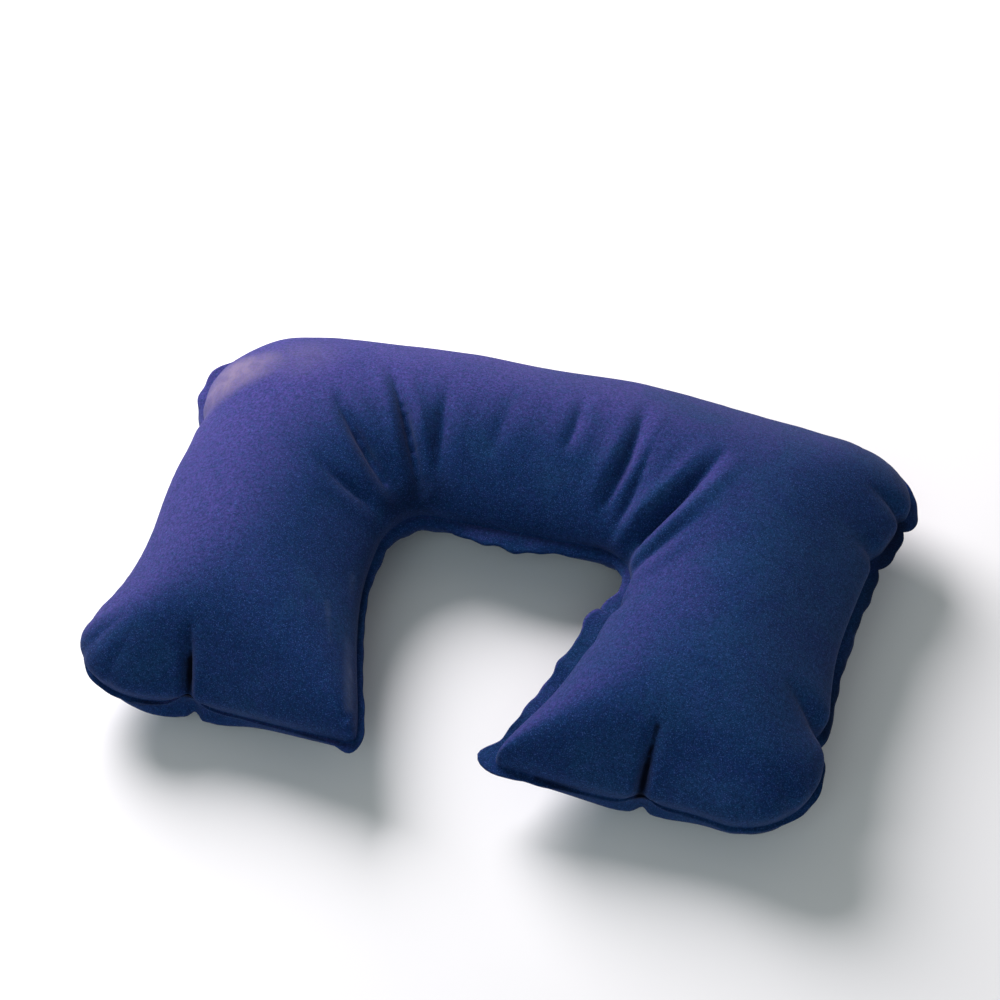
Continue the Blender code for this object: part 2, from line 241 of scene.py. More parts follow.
# ---- what a user would change ----------------------------------------------------------------------------------
def length(name, note, value):
    return bpy.props.FloatProperty(name=name, description=note, default=value, unit="LENGTH", precision=5)


def number(name, note, value):
    return bpy.props.FloatProperty(name=name, description=note, default=value)


def count(name, note, value):
    return bpy.props.IntProperty(name=name, description=note, default=value)


def angle(name, note, value):
    return bpy.props.FloatProperty(name=name, description=note, default=radians(value), subtype="ANGLE")


def colour(name, note, value):
    return bpy.props.FloatVectorProperty(name=name, description=note, default=value, size=3, subtype="COLOR")


class PillowShape(bpy.types.PropertyGroup):
    back_half_width: length("Back half width", "Corner of the back before it is rounded", 0.2120)
    front_half_width: length("Front half width", "Outer corner of an arm's end", 0.1860)
    front_y: length("Front", "Outer corner of an arm's end, from the back weld", -0.2640)
    tip_x: length("Tip across", "Inner tip of an arm's end", 0.0415)
    tip_y: length("Tip forward", "Inner tip of an arm's end, from the back weld", -0.2665)
    neck_half_width: length("Neck half width", "Inner corner between arm and back", 0.0835)
    neck_y: length("Neck depth", "Inner corner between arm and back, from the back weld", -0.1110)
    back_radius: length("Back corner radius", "Rounding of the back corners", 0.045)
    front_radius: length("Front corner radius", "Rounding of the arms' outer corners", 0.038)
    tip_radius: length("Tip radius", "Rounding of the arms' inner tips", 0.0035)
    neck_radius: length("Neck corner radius", "Rounding of the inner corners", 0.024)
    back_bulge: length("Back bulge", "How far the middle of the back stands out", 0.0044)
    side_bow: length("Side bow", "How far the outer sides are drawn in", 0.0121)
    end_bow: length("End bow", "How far the arms' ends are drawn in", 0.0039)
    margin: length("Weld margin", "Width of the flat rim outside the weld", 0.009)
    seam_z: length("Seam height", "Height of the seam plane over the floor", 0.043)
    swell_up: number("Top swell", "Dome height over the square root of the distance to the weld", 0.2119)
    swell_down: number("Base swell", "The same for the lower panel", 0.2214)
    film: length("Film", "Thickness of the flocked film", 0.0005)
    step: length("Cloth step", "Spacing of the cloth's points", 0.0032)
    bulge_height: length("Bulge height", "Height over the weld where a panel stands out furthest", 0.014)


class BlowingUp(bpy.types.PropertyGroup):
    start: number("Start", "Share of the full swell that the panels start from", 0.93)
    pressure: number("Pressure", "Air pressure in the simulation", 3.0)
    frames: count("Frames", "Length of the simulation", 16)
    stiffness: number("Stretch stiffness", "How little the film stretches", 120.0)
    bending: number("Bending stiffness", "How stiff the film is in bending", 0.4)
    cap: length("Cap", "The furthest that a point may move", 0.010)


class FlockColours(bpy.types.PropertyGroup):
    # Deep: navy painted on the faces turned from the light, as painted shade; darkened, it is also the colour of the
    # random fibre clumps and of the painted shade in the creases and along the seam.
    deep: colour("Deep", "Flock seen into its depth", (0.0028, 0.023, 0.096))
    mid: colour("Middle", "Main colour of the flock", (0.014, 0.030, 0.145))
    # Teal of the random clouds and tints; on the faces turned from the light it is also part of the painted shade.
    lit_violet: colour("Brushed", "Flock laid over by a stroke", (0.060, 0.044, 0.218))
    # Violet painted on the faces turned to the key light, as painted light; the random tint patches also use it.
    cool: colour("Cool", "Flock that has kept to the green side", (0.007, 0.042, 0.118))
    # Pale colour of flock laid flat, also used as a painted highlight on the lit back-left corner.
    worn: colour("Worn", "Flock laid flat by handling", (0.205, 0.16, 0.24))
    # Pale colour of the ridge lines: partly flock worn thin, partly a painted highlight on the lit ridge.
    ridge_wear_and_highlight: colour("Chafed", "Flock worn thin along a ridge", (0.150, 0.190, 0.300))
    fleck: colour("Fleck", "Single bright fibres", (0.055, 0.120, 0.370))
    sheen: colour("Sheen", "Soft light along the pile", (0.60, 0.60, 0.95))
    vinyl: colour("Vinyl", "Moulded valve pieces", (0.028, 0.036, 0.110))
    clear: colour("Clear film", "The check flap", (0.62, 0.66, 0.72))


class ValveShape(bpy.types.PropertyGroup):
    hole_radius: length("Hole radius", "Hole in the lower panel", 0.0090)
    land_radius: length("Land radius", "Flat land round the hole", 0.0154)
    land_reach: length("Land reach", "Where the land has run out into the panel", 0.0240)
    ring_radius: length("Ring radius", "Outer edge of the welded ring", 0.0145)
    neck_radius: length("Neck radius", "Outside of the neck", 0.0050)
    bore_radius: length("Bore radius", "Inside of the neck", 0.0034)
    lip_radius: length("Lip radius", "Rolled edge at the neck's mouth", 0.0060)
    neck_low: length("Neck bottom", "Lower end of the neck along the valve's axis", -0.0125)
    lip_low: length("Lip bottom", "Underside of the lip", 0.0003)
    lip_top: length("Lip top", "Mouth of the neck", 0.0013)
    hinge_out: length("Hinge distance", "Stopper hinge from the valve's axis", 0.0099)
    hinge_up: length("Hinge height", "Stopper hinge along the valve's axis", 0.00115)
    gap: length("Running gap", "Clear space between neighbours", 0.0003)


class StageLook(bpy.types.PropertyGroup):
    azimuth: angle("Azimuth", "Camera's turn about the pillow", 18.14)
    elevation: angle("Elevation", "Camera's height angle", 50.43)
    roll: angle("Roll", "Camera's roll", -2.72)
    distance: length("Distance", "Camera to pillow", 0.99615)
    focal: number("Focal length", "Lens in millimetres on a 36 mm frame", 64.75)
    shift_x: number("Shift across", "Lens shift", 0.0023)
    shift_y: number("Shift up", "Lens shift", 0.0581)
    aim: bpy.props.FloatVectorProperty(name="Aim", description="Point that the camera looks at", size=3,
                                       default=(0.0, 0.00025, 0.0417), subtype="TRANSLATION", unit="LENGTH")


GROUPS = {"pillow_shape": PillowShape, "pillow_blowing": BlowingUp, "pillow_colours": FlockColours,
          "pillow_valve": ValveShape, "pillow_stage": StageLook}


# ---- outline and dome --------------------------------------------------------------------------------------------
def rounded(before, corner, after, radius, steps):
    """Arc that rounds a corner: centre on the bisector at radius / sin(half the opening)."""
    u = (before - corner) / np.linalg.norm(before - corner)
    v = (after - corner) / np.linalg.norm(after - corner)
    opening = np.arccos(u @ v)
    run = radius / np.tan(opening / 2)
    centre = corner + (u + v) / np.linalg.norm(u + v) * radius / np.sin(opening / 2)
    start = np.arctan2(*(corner + u * run - centre)[::-1])
    stop = np.arctan2(*(corner + v * run - centre)[::-1])
    sweep = (stop - start + pi) % tau - pi
    turn = start + sweep * np.linspace(0, 1, steps + 1)
    return centre + radius * np.stack([np.cos(turn), np.sin(turn)], 1)


def side(start, stop, bow):
    """Straight run from start to stop, moved to the right of travel by bow(t) for t from 0 to 1."""
    t = np.linspace(0, 1, 60)[1:-1, None]
    along = stop - start
    right = np.array([along[1], -along[0]]) / np.linalg.norm(along)
    return start + along * t + right * bow(t)


def weld_line(shape):
    """The weld line seen from above, clockwise from the middle of the back, centred on the object's box."""
    corners = [np.array(p) for p in (
        (0.0, 0.0), (shape.back_half_width, 0.0), (shape.front_half_width, shape.front_y),
        (shape.tip_x, shape.tip_y), (shape.neck_half_width, shape.neck_y), (0.0, shape.neck_y))]
    radii = (shape.back_radius, shape.front_radius, shape.tip_radius, shape.neck_radius)
    arcs = [rounded(corners[i], corners[i + 1], corners[i + 2], r, 16) for i, r in enumerate(radii)]
    half = [np.array([[0.0, shape.back_bulge]]),
            side(corners[0], arcs[0][0], lambda t: -shape.back_bulge * (1 - t ** 2)), arcs[0],
            side(arcs[0][-1], arcs[1][0], lambda t: shape.side_bow * 4 * t * (1 - t)), arcs[1],
            side(arcs[1][-1], arcs[2][0], lambda t: shape.end_bow * 4 * t * (1 - t)), arcs[2],
            side(arcs[2][-1], arcs[3][0], lambda t: 0 * t), arcs[3],
            side(arcs[3][-1], corners[5], lambda t: 0 * t), corners[5][None]]
    right = np.concatenate(half)
    loop = np.concatenate([right, right[::-1][1:-1] * (-1, 1)])
    loop = loop + (0.0, CAD_BOX[1].y - shape.margin - loop[:, 1].max())
    for x, y, *shift in SHIFTS:
        gap = np.linalg.norm(loop / MM - (x, y), axis=1)[:, None]
        loop = loop + np.array(shift) * MM * np.exp(-(gap / SHIFT_REACH) ** 2)
    return loop


def even(loop, step):
    """Points at an even spacing along a closed loop; further columns are carried along."""
    closed = np.concatenate([loop, loop[:1]])
    pace = np.append(0, np.cumsum(np.linalg.norm(np.diff(closed[:, :2], axis=0), axis=1)))
    stops = np.linspace(0, pace[-1], 2 * round(pace[-1] / step / 2), endpoint=False)
    return np.stack([np.interp(stops, pace, closed[:, k]) for k in range(loop.shape[1])], 1)


def outward(loop):
    """Unit normals of a clockwise loop, pointing out of it."""
    leg = np.roll(loop, -1, 0) - np.roll(loop, 1, 0)
    normal = np.stack([-leg[:, 1], leg[:, 0]], 1)
    return normal / np.linalg.norm(normal, axis=1)[:, None]


def drawn_in(loop):
    """The loop with each notch pulled inwards by depth * exp(-(distance / half-width)^2), and raised likewise."""
    pull = np.zeros(len(loop))
    rise = np.zeros(len(loop))
    for x, y, depth, half, lift in NOTCHES:
        gap = np.linalg.norm(loop - (x * MM, y * MM), axis=1)
        gap = np.linalg.norm(loop - loop[np.argmin(gap)], axis=1)
        share = np.exp(-(gap / (half * MM)) ** 2)
        pull += depth * MM * share
        rise += lift * MM * share
    return np.column_stack([loop - outward(loop) * pull[:, None], rise])


def by_place(points, table, reach):
    """Values of a table at points: the mean of its rows, weighted by exp(-(distance / reach)^2)."""
    rows = np.array(table, float)
    gap = np.linalg.norm(points[:, None] / MM - rows[None, :, :2], axis=2)
    weight = np.exp(-(gap / reach) ** 2) + 1e-9 / (1 + gap)
    return weight @ rows[:, 2:] / weight.sum(1)[:, None]


def field(loop, points):
    """Smooth distance to the weld line: (half the integral of ds / r^3 along it) ^ -1/2, exact on each segment."""
    start, leg = loop, np.roll(loop, -1, 0) - loop
    size = np.linalg.norm(leg, axis=1)
    unit = leg / size[:, None]
    offset = points[:, None] - start[None]
    along = (offset * unit[None]).sum(2)
    across = np.maximum((offset ** 2).sum(2) - along ** 2, 1e-10)
    far, near = size[None] - along, -along
    part = (far / np.sqrt(across + far ** 2) - near / np.sqrt(across + near ** 2)) / across
    return (0.5 * np.maximum(part.sum(1), 1e-9)) ** -0.5


def inside(loop, points):
    """True for points inside the loop, by counting crossings."""
    hit = np.zeros(len(points), bool)
    for a, b in zip(loop, np.roll(loop, -1, 0)):
        crosses = (a[1] > points[:, 1]) != (b[1] > points[:, 1])
        run = (b[0] - a[0]) / (b[1] - a[1]) if abs(b[1] - a[1]) > 1e-12 else 0.0
        hit ^= crosses & (points[:, 0] < a[0] + (points[:, 1] - a[1]) * run)
    return hit


def climb(loop, points, level):
    """Moves points up the field's slope until they reach a level: a few Newton steps with a central difference."""
    tiny = 2e-5
    for _ in range(5):
        value = field(loop, points)
        slope = np.stack([(field(loop, points + d) - field(loop, points - d)) / (2 * tiny)
                          for d in (np.array([tiny, 0.0]), np.array([0.0, tiny]))], 1)
        steep = np.maximum((slope ** 2).sum(1), 0.25)
        points = points + slope * ((level - value) / steep)[:, None]
    return points


# ---- cloth -------------------------------------------------------------------------------------------------------
class Blank:
    """Both panels as one closed sheet of points in plan, before they are blown up.

    Rows of points follow the weld line inside it, closer in plan where the dome is steep, and a staggered grid
    fills the rest. `xy` holds the plan, `level` the distance field, `downhill` its unit slope towards the weld,
    `rise` how far the weld nearest to each point is raised, and `quads` and `tris` the faces of one panel."""

    ROWS = 4

    def __init__(self, shape):
        line = even(drawn_in(weld_line(shape)), shape.step)
        self.weld, self.weld_rise = line[:, :2], line[:, 2]
        self.ring = len(self.weld)
        levels = (shape.step / shape.swell_up * np.arange(1, self.ROWS + 1) * 0.97) ** 2
        rows, here = [self.weld], self.weld - outward(self.weld) * levels[0]
        for level in levels:
            here = climb(self.weld, here, level)
            rows.append(here)
        pitch = shape.step * 1.04
        low, high = self.weld.min(0), self.weld.max(0)
        x, y = np.meshgrid(np.arange(low[0], high[0], pitch), np.arange(low[1], high[1], pitch * sin(pi / 3)))
        x = x + (np.arange(len(x)) % 2)[:, None] * pitch / 2
        grid = np.stack([x.ravel(), y.ravel()], 1)
        grid = grid[inside(rows[-1], grid)]
        grid = grid[field(self.weld, grid) > levels[-1] + 0.45 * pitch]
        border = [(i, (i + 1) % self.ring) for i in range(self.ring)]
        flat, _, faces, *_ = delaunay_2d_cdt([Vector(p) for p in np.concatenate([rows[-1], grid])],
                                             border, [], 0, 1e-9)
        filled = np.array([v[:] for v in flat])
        faces = np.array([f for f in faces if len(f) == 3])
        faces = faces[inside(rows[-1], filled[faces].mean(1))]
        last = self.ring * self.ROWS
        self.xy = np.concatenate([np.concatenate(rows)[:last], filled])
        self.level = field(self.weld, self.xy)
        self.level[:self.ring] = 0.0
        self.tris = clockwise_fixed(self.xy, faces + last)
        k = np.arange(self.ring)
        j = (k + 1) % self.ring
        bands = [np.stack([k + a, j + a, j + a + self.ring, k + a + self.ring], 1)
                 for a in range(0, last, self.ring)]
        self.quads = facing_up(self.xy, np.concatenate(bands))
        nearest = np.concatenate([np.linalg.norm(part[:, None] - self.weld[None], axis=2).argmin(1)
                                  for part in np.array_split(self.xy, 12)])
        self.rise = self.weld_rise[nearest]
        self.downhill = self.slope()

    def slope(self):
        """Unit slope of the distance field towards the weld, by central differences; outward on the weld."""
        tiny = 1e-4
        slope = np.stack([field(self.weld, self.xy - d) - field(self.weld, self.xy + d)
                          for d in (np.array([tiny, 0.0]), np.array([0.0, tiny]))], 1)
        slope /= np.maximum(np.linalg.norm(slope, axis=1), 1e-6)[:, None]
        slope[:self.ring] = outward(self.weld)
        return slope


def clockwise_fixed(xy, tris):
    """Turns every triangle so that it faces up."""
    a, b, c = xy[tris[:, 0]], xy[tris[:, 1]], xy[tris[:, 2]]
    area = (b[:, 0] - a[:, 0]) * (c[:, 1] - a[:, 1]) - (b[:, 1] - a[:, 1]) * (c[:, 0] - a[:, 0])
    tris = tris.copy()
    tris[area < 0] = tris[area < 0][:, ::-1]
    return tris


def facing_up(xy, quads):
    """Turns all quads together, by the sign of their summed area."""
    a, c = xy[quads[:, 0]], xy[quads[:, 2]]
    b, d = xy[quads[:, 1]], xy[quads[:, 3]]
    area = (c[:, 0] - a[:, 0]) * (d[:, 1] - b[:, 1]) - (c[:, 1] - a[:, 1]) * (d[:, 0] - b[:, 0])
    return quads if area.sum() > 0 else quads[:, ::-1]


def normals_of(points, quads, tris):
    """Vertex normals: the sum of the cross products of each face's diagonals or sides."""
    total = np.zeros_like(points)
    cross = np.cross(points[quads[:, 2]] - points[quads[:, 0]], points[quads[:, 3]] - points[quads[:, 1]])
    for k in range(4):
        np.add.at(total, quads[:, k], cross)
    cross = np.cross(points[tris[:, 1]] - points[tris[:, 0]], points[tris[:, 2]] - points[tris[:, 0]])
    for k in range(3):
        np.add.at(total, tris[:, k], cross)
    return total / np.maximum(np.linalg.norm(total, axis=1), 1e-12)[:, None]


def fold_relief(xy, folds, narrow=1.0, ridge=0.4, taper=0.45):
    """Height of the folds over the smooth dome: each is a curve through three points; across it, a cusp
    -depth * exp(-(s / w)^1.3) with a soft ridge on both sides; along it, the depth grows from the outer end."""
    relief = np.zeros(len(xy))
    stops = 40
    t = np.linspace(0, 1, stops)[:, None]
    for outer, middle, inner, depth, half in folds:
        a, b, c = (np.array(p) * MM for p in (outer, middle, inner))
        bend = 2 * b - (a + c) / 2
        path = a * (1 - t) ** 2 + 2 * bend * t * (1 - t) + c * t ** 2
        near = np.where(np.linalg.norm(xy - b, axis=1) < 0.09)[0]
        gap = np.linalg.norm(xy[near, None] - path[None], axis=2)
        nearest = gap.argmin(1)
        s = gap[np.arange(len(near)), nearest] / (half * MM * narrow)
        place = nearest / (stops - 1)
        grow = np.clip(place / 0.65, 0, 1) ** 1.2 * (1 - taper * np.clip((place - 0.8) / 0.2, 0, 1))
        shape = -np.exp(-s ** 1.3) + ridge * np.exp(-((s - 2.1) / 1.1) ** 2)
        relief[near] += depth * MM * grow * shape
    return relief


def sinking(xy):
    """How far each point sinks with the ends of the arms: the sum of sink * exp(-(distance / reach)^2)."""
    total = np.zeros(len(xy))
    for x, y, sink, reach in SINKS:
        total += sink * MM * np.exp(-(np.linalg.norm(xy / MM - (x, y), axis=1) / reach) ** 2)
    return total


def all_folds(xy, folds, narrow=1.0, ridge=0.4):
    """The long folds and the puckers together; a pucker runs straight, 8 mm past the weld, and does not fade."""
    puckers = []
    share = 1.0 if folds is TOP_FOLDS else BASE_PUCKER
    for start, stop, depth, half in PUCKERS:
        start, stop = np.array(start, float), np.array(stop, float)
        stop = stop + (stop - start) / np.linalg.norm(stop - start) * 8
        puckers.append((start, (start + stop) / 2, stop, depth * share, half))
    return fold_relief(xy, folds, narrow, ridge) + fold_relief(xy, puckers, narrow, ridge * 0.6, 0.0)


def land_frame(valve):
    """Place and axes of the valve: x to the hinge, z out of the panel, from the joints' own lines."""
    axis = Vector(JOINTS["neck_pull"]["axis"]).normalized()
    across = Vector((1.0, 0.0, 0.0))
    hinge = Vector(JOINTS["stopper_swing"]["pos_m"])
    centre = hinge - across * valve.hinge_out - axis * valve.hinge_up
    turn = Matrix((across, axis.cross(across), axis)).transposed().to_4x4()
    return Matrix.Translation(centre) @ turn


def onto_land(points, valve):
    """Presses points near the valve onto its flat land: full within the land's radius, none past its reach."""
    place = land_frame(valve)
    axes = np.array(place.to_3x3())
    local = (points - np.array(place.translation)) @ axes
    radius = np.hypot(local[:, 0], local[:, 1])
    fade = np.clip((valve.land_reach - radius) / (valve.land_reach - valve.land_radius), 0, 1)
    weight = fade ** 2 * (3 - 2 * fade) * (np.abs(local[:, 2]) < 0.012)
    return points - (local[:, 2] * weight)[:, None] * axes[:, 2]


def blow_up(blank, top, base, settings):
    """Cloth simulation of both panels with air pressure, the weld held still; moves are capped."""
    ring, n = blank.ring, len(blank.xy)
    merged = np.concatenate([np.arange(ring), n + np.arange(n - ring)])
    points = np.concatenate([top, base[ring:]])
    faces = [tuple(f) for f in blank.quads.tolist()] + [tuple(f) for f in blank.tris.tolist()]
    faces += [tuple(f) for f in merged[blank.quads][:, ::-1].tolist()]
    faces += [tuple(f) for f in merged[blank.tris][:, ::-1].tolist()]
    mesh = bpy.data.meshes.new("blank")
    mesh.from_pydata(points.tolist(), [], faces)
    cloth_piece = bpy.data.objects.new("blank", mesh)
    bpy.context.scene.collection.objects.link(cloth_piece)
    held = cloth_piece.vertex_groups.new(name="weld")
    held.add(list(range(ring)), 1.0, "REPLACE")
    cloth = cloth_piece.modifiers.new("cloth", "CLOTH")
    film = cloth.settings
    film.quality = 6
    film.mass = 0.002
    film.tension_stiffness = film.compression_stiffness = settings.stiffness
    film.shear_stiffness = settings.stiffness * 0.3
    film.bending_model = "ANGULAR"
    film.bending_stiffness = settings.bending
    film.tension_damping = film.compression_damping = film.shear_damping = 5
    film.bending_damping = 0.5
    film.air_damping = 1
    film.vertex_group_mass = "weld"
    film.use_pressure = True
    film.uniform_pressure_force = settings.pressure
    film.effector_weights.gravity = 0
    cloth.collision_settings.use_collision = False
    cloth.collision_settings.use_self_collision = False
    cloth.point_cache.frame_start = 1
    cloth.point_cache.frame_end = settings.frames
    scene = bpy.context.scene
    for now in range(1, settings.frames + 1):
        scene.frame_set(now)
    blown = cloth_piece.evaluated_get(bpy.context.evaluated_depsgraph_get()).to_mesh()
    moved = np.empty(len(points) * 3)
    blown.vertices.foreach_get("co", moved)
    bpy.data.objects.remove(cloth_piece)
    scene.frame_set(1)
    step = moved.reshape(-1, 3) - points
    size = np.linalg.norm(step, axis=1)[:, None]
    step *= np.minimum(1, settings.cap / np.maximum(size, 1e-9))
    points = points + step
    return points[:n], np.concatenate([points[:ring], points[n:]])


def rim_wave(blank, shape):
    """How the margin waves: for each weld point, the lift and the drawing-in of its outer edge.

    The lift is a sum of sines along the weld, stronger where the outline turns outwards, because the rim is
    too long for the shrunken weld there."""
    weld = blank.weld
    leg = np.roll(weld, -1, 0) - weld
    pace = np.append(0, np.cumsum(np.linalg.norm(leg, axis=1)))[:-1]
    s = pace / (pace[-1] + np.linalg.norm(leg[-1])) * tau
    heading = np.unwrap(np.arctan2(leg[:, 1], leg[:, 0]))
    turn = -np.gradient(heading) / shape.step
    smooth = np.ones(9) / 9
    turn = np.convolve(np.concatenate([turn[-4:], turn, turn[:4]]), smooth, "valid")
    convex = np.clip(turn * 0.03, 0, 1.2)
    waves = ((19, 0.7, 0.5), (31, 2.1, 0.7), (47, 0.4, 0.6), (83, 1.3, 0.4))
    lift = sum(size * np.sin(n * s + phase) for n, phase, size in waves) * MM
    puckers = ((131, 0.2, 0.5), (167, 1.9, 0.4))
    lift += convex * sum(size * np.sin(n * s + phase) for n, phase, size in puckers) * MM
    draw = 0.10 + 0.12 * np.sin(37 * s + 0.5) * np.sin(11 * s) + 0.07 * np.sin(101 * s)
    return lift * (0.8 + 0.7 * convex), np.clip(draw, 0, 0.32)


def panel_points(blank, shape, up, folds, share):
    """One panel before blowing up: the dome at a share of its height, with its folds laid in."""
    height = (shape.swell_up if up == UP else shape.swell_down) * share * np.sqrt(blank.level)
    seam = shape.seam_z - sinking(blank.xy) * np.exp(-(height / (SINK_FADE * MM)) ** 2)
    z = seam + blank.rise * np.exp(-(height / 0.009) ** 2) + up * (shape.film + height)
    z[:blank.ring] = (seam + blank.rise)[:blank.ring]
    points = np.column_stack([blank.xy, z])
    relief = all_folds(blank.xy, folds) * np.clip(height / 0.010, 0, 1)
    return points + up * normals_of(points, blank.quads, blank.tris) * relief[:, None]


def bulged(points, blank, shape, up):
    """Rounds a panel's sides: points move towards the weld by bulge * exp(-((h - h0) / 0.8 h0)^2), h over the weld."""
    bulge = by_place(blank.xy, RIM, RIM_REACH)[:, 2 if up == UP else 3] * MM
    height = np.abs(points[:, 2] - shape.seam_z + sinking(points[:, :2]))
    peak = shape.bulge_height
    share = np.exp(-((height - peak) / (0.8 * peak)) ** 2) * np.clip(height / (0.6 * peak), 0, 1)
    share[:blank.ring] = 0.0
    points = points.copy()
    points[:, :2] += blank.downhill * (bulge * share)[:, None]
    return points


def margin_rows(blank, shape, up):
    """Rows of the margin outside the weld: width and droop by place, drawn out at the inner tips, with a wave."""
    lift, draw = rim_wave(blank, shape)
    width, droop = by_place(blank.weld, RIM, RIM_REACH)[:, :2].T
    pull = np.zeros_like(blank.weld)
    for x, y, pull_x, pull_y, half in POINTED:
        gap = np.linalg.norm(blank.weld / MM - (x, y), axis=1)
        pull += np.exp(-(gap / half) ** 2)[:, None] * np.array([pull_x, pull_y]) * MM
    out = outward(blank.weld)
    rows = []
    for k in (0.12, 0.42, 0.72, 1.0):
        reach = width * MM * k * (1 - draw * k)
        turn = np.radians(droop) * k
        plan = blank.weld + out * (reach * np.cos(turn))[:, None] + pull * k
        z = shape.seam_z - sinking(blank.weld) + blank.weld_rise + up * LAYER + lift * k ** 1.4 * width / 9 - reach * np.sin(turn)
        rows.append(np.column_stack([plan, z]))
    return rows


def mesh_object(name, points, faces):
    mesh = bpy.data.meshes.new(name)
    mesh.from_pydata(np.asarray(points).tolist(), [], faces)
    piece = bpy.data.objects.new(name, mesh)
    bpy.context.scene.collection.objects.link(piece)
    return piece


def settled(piece):
    """Applies the piece's modifiers to its mesh."""
    graph = bpy.context.evaluated_depsgraph_get()
    mesh = bpy.data.meshes.new_from_object(piece.evaluated_get(graph))
    piece.modifiers.clear()
    piece.data = mesh
    return piece


def points_of(piece):
    points = np.empty(len(piece.data.vertices) * 3)
    piece.data.vertices.foreach_get("co", points)
    return points.reshape(-1, 3)


def set_points(piece, points):
    piece.data.vertices.foreach_set("co", points.astype(np.float32).ravel())
    piece.data.update()


def vertex_normals(piece):
    normal = np.empty(len(piece.data.vertices) * 3, np.float32)
    piece.data.vertex_normals.foreach_get("vector", normal)
    return normal.reshape(-1, 3).astype(float)


def panel(name, blank, dome, shape, up, folds, valve):
    """A finished panel: dome and margin in one skin, subdivided, with its fine folds, and given its thickness."""
    ring = blank.ring
    dome = bulged(dome, blank, shape, up)
    dome[:ring, 2] += up * LAYER
    rows = margin_rows(blank, shape, up)
    points = np.concatenate([dome, *rows])
    bases = [0] + [len(dome) + k * ring for k in range(len(rows))]
    i = np.arange(ring)
    j = (i + 1) % ring
    skirt = np.concatenate([np.stack([i + a, j + a, j + b, i + b], 1) for a, b in zip(bases, bases[1:])])
    quads = np.concatenate([blank.quads, facing_up(points[:, :2], skirt)])
    tris = blank.tris
    if up == DOWN:
        quads, tris = quads[:, ::-1], tris[:, ::-1]
    piece = mesh_object(name, points, quads.tolist() + tris.tolist())
    bm = bmesh.new()
    bm.from_mesh(piece.data)
    bmesh.ops.join_triangles(bm, faces=[f for f in bm.faces if len(f.verts) == 3],
                             angle_face_threshold=radians(40), angle_shape_threshold=radians(50))
    crease = bm.edges.layers.float.new("crease_edge")
    for edge in bm.edges:
        a, b = (v.index for v in edge.verts)
        if a < ring and b < ring:
            edge[crease] = 1.0
    bm.to_mesh(piece.data)
    bm.free()
    smooth = piece.modifiers.new("smooth", "SUBSURF")
    smooth.levels = smooth.render_levels = 1
    settled(piece)
    fine = points_of(piece)
    height = np.abs(fine[:, 2] - shape.seam_z + sinking(fine[:, :2]))
    sharp = all_folds(fine[:, :2], folds, narrow=0.42, ridge=0.25) * 0.34 * np.clip((height - 0.010) / 0.01, 0, 1)
    fine = fine + vertex_normals(piece) * sharp[:, None]
    if up == DOWN:
        fine = onto_land(fine, valve)
        fine[:, 2] = (fine[:, 2] + np.hypot(fine[:, 2], 1.2 * MM)) / 2
    set_points(piece, fine)
    if up == DOWN:
        cut_hole(piece, valve)
    wall = piece.modifiers.new("film", "SOLIDIFY")
    wall.thickness = shape.film
    wall.offset = -1
    settled(piece)
    piece.data.shade_smooth()
    return piece


def cut_hole(piece, valve):
    """Opens the valve's hole and embosses the weld of the ring round it.

    The land gets finer faces; those inside the hole go, and the edge that is left is moved onto the circle."""
    place = land_frame(valve)
    back = place.inverted()

    def radius(point):
        local = back @ point
        return Vector(local.xy).length if abs(local.z) < 0.004 else 1.0

    bm = bmesh.new()
    bm.from_mesh(piece.data)
    land = [e for e in bm.edges if max(radius(v.co) for v in e.verts) < valve.land_radius + 0.001]
    bmesh.ops.subdivide_edges(bm, edges=land, cuts=3, use_grid_fill=True)
    gone = [f for f in bm.faces if radius(f.calc_center_median()) < valve.hole_radius]
    bmesh.ops.delete(bm, geom=gone, context="FACES")
    for v in bm.verts:
        r = radius(v.co)
        local = back @ v.co
        if v.is_boundary and r < valve.hole_radius + 0.003:
            edge = Vector(local.xy).normalized() * valve.hole_radius
            v.co = place @ Vector((edge.x, edge.y, 0.0))
        elif r < valve.land_radius:
            inner = min(1.0, max(0.0, (r - valve.hole_radius - 0.0004) / 0.0006))
            outer = min(1.0, max(0.0, (valve.ring_radius - 0.0004 - r) / 0.0006))
            sunk = 0.30 * MM + 0.07 * MM * cos(tau * r / (1.1 * MM))
            v.co = place @ Vector((local.x, local.y, local.z - inner * outer * sunk))
    bm.to_mesh(piece.data)
    bm.free()


# ---- valve pieces ------------------------------------------------------------------------------------------------
def softened(corners, radii, steps=5):
    """A closed polygon with each corner rounded to its radius."""
    corners = np.array(corners, float)
    arcs = [rounded(corners[i - 1], corner, corners[(i + 1) % len(corners)], radius, steps)
            for i, (corner, radius) in enumerate(zip(corners, radii))]
    return np.concatenate(arcs)


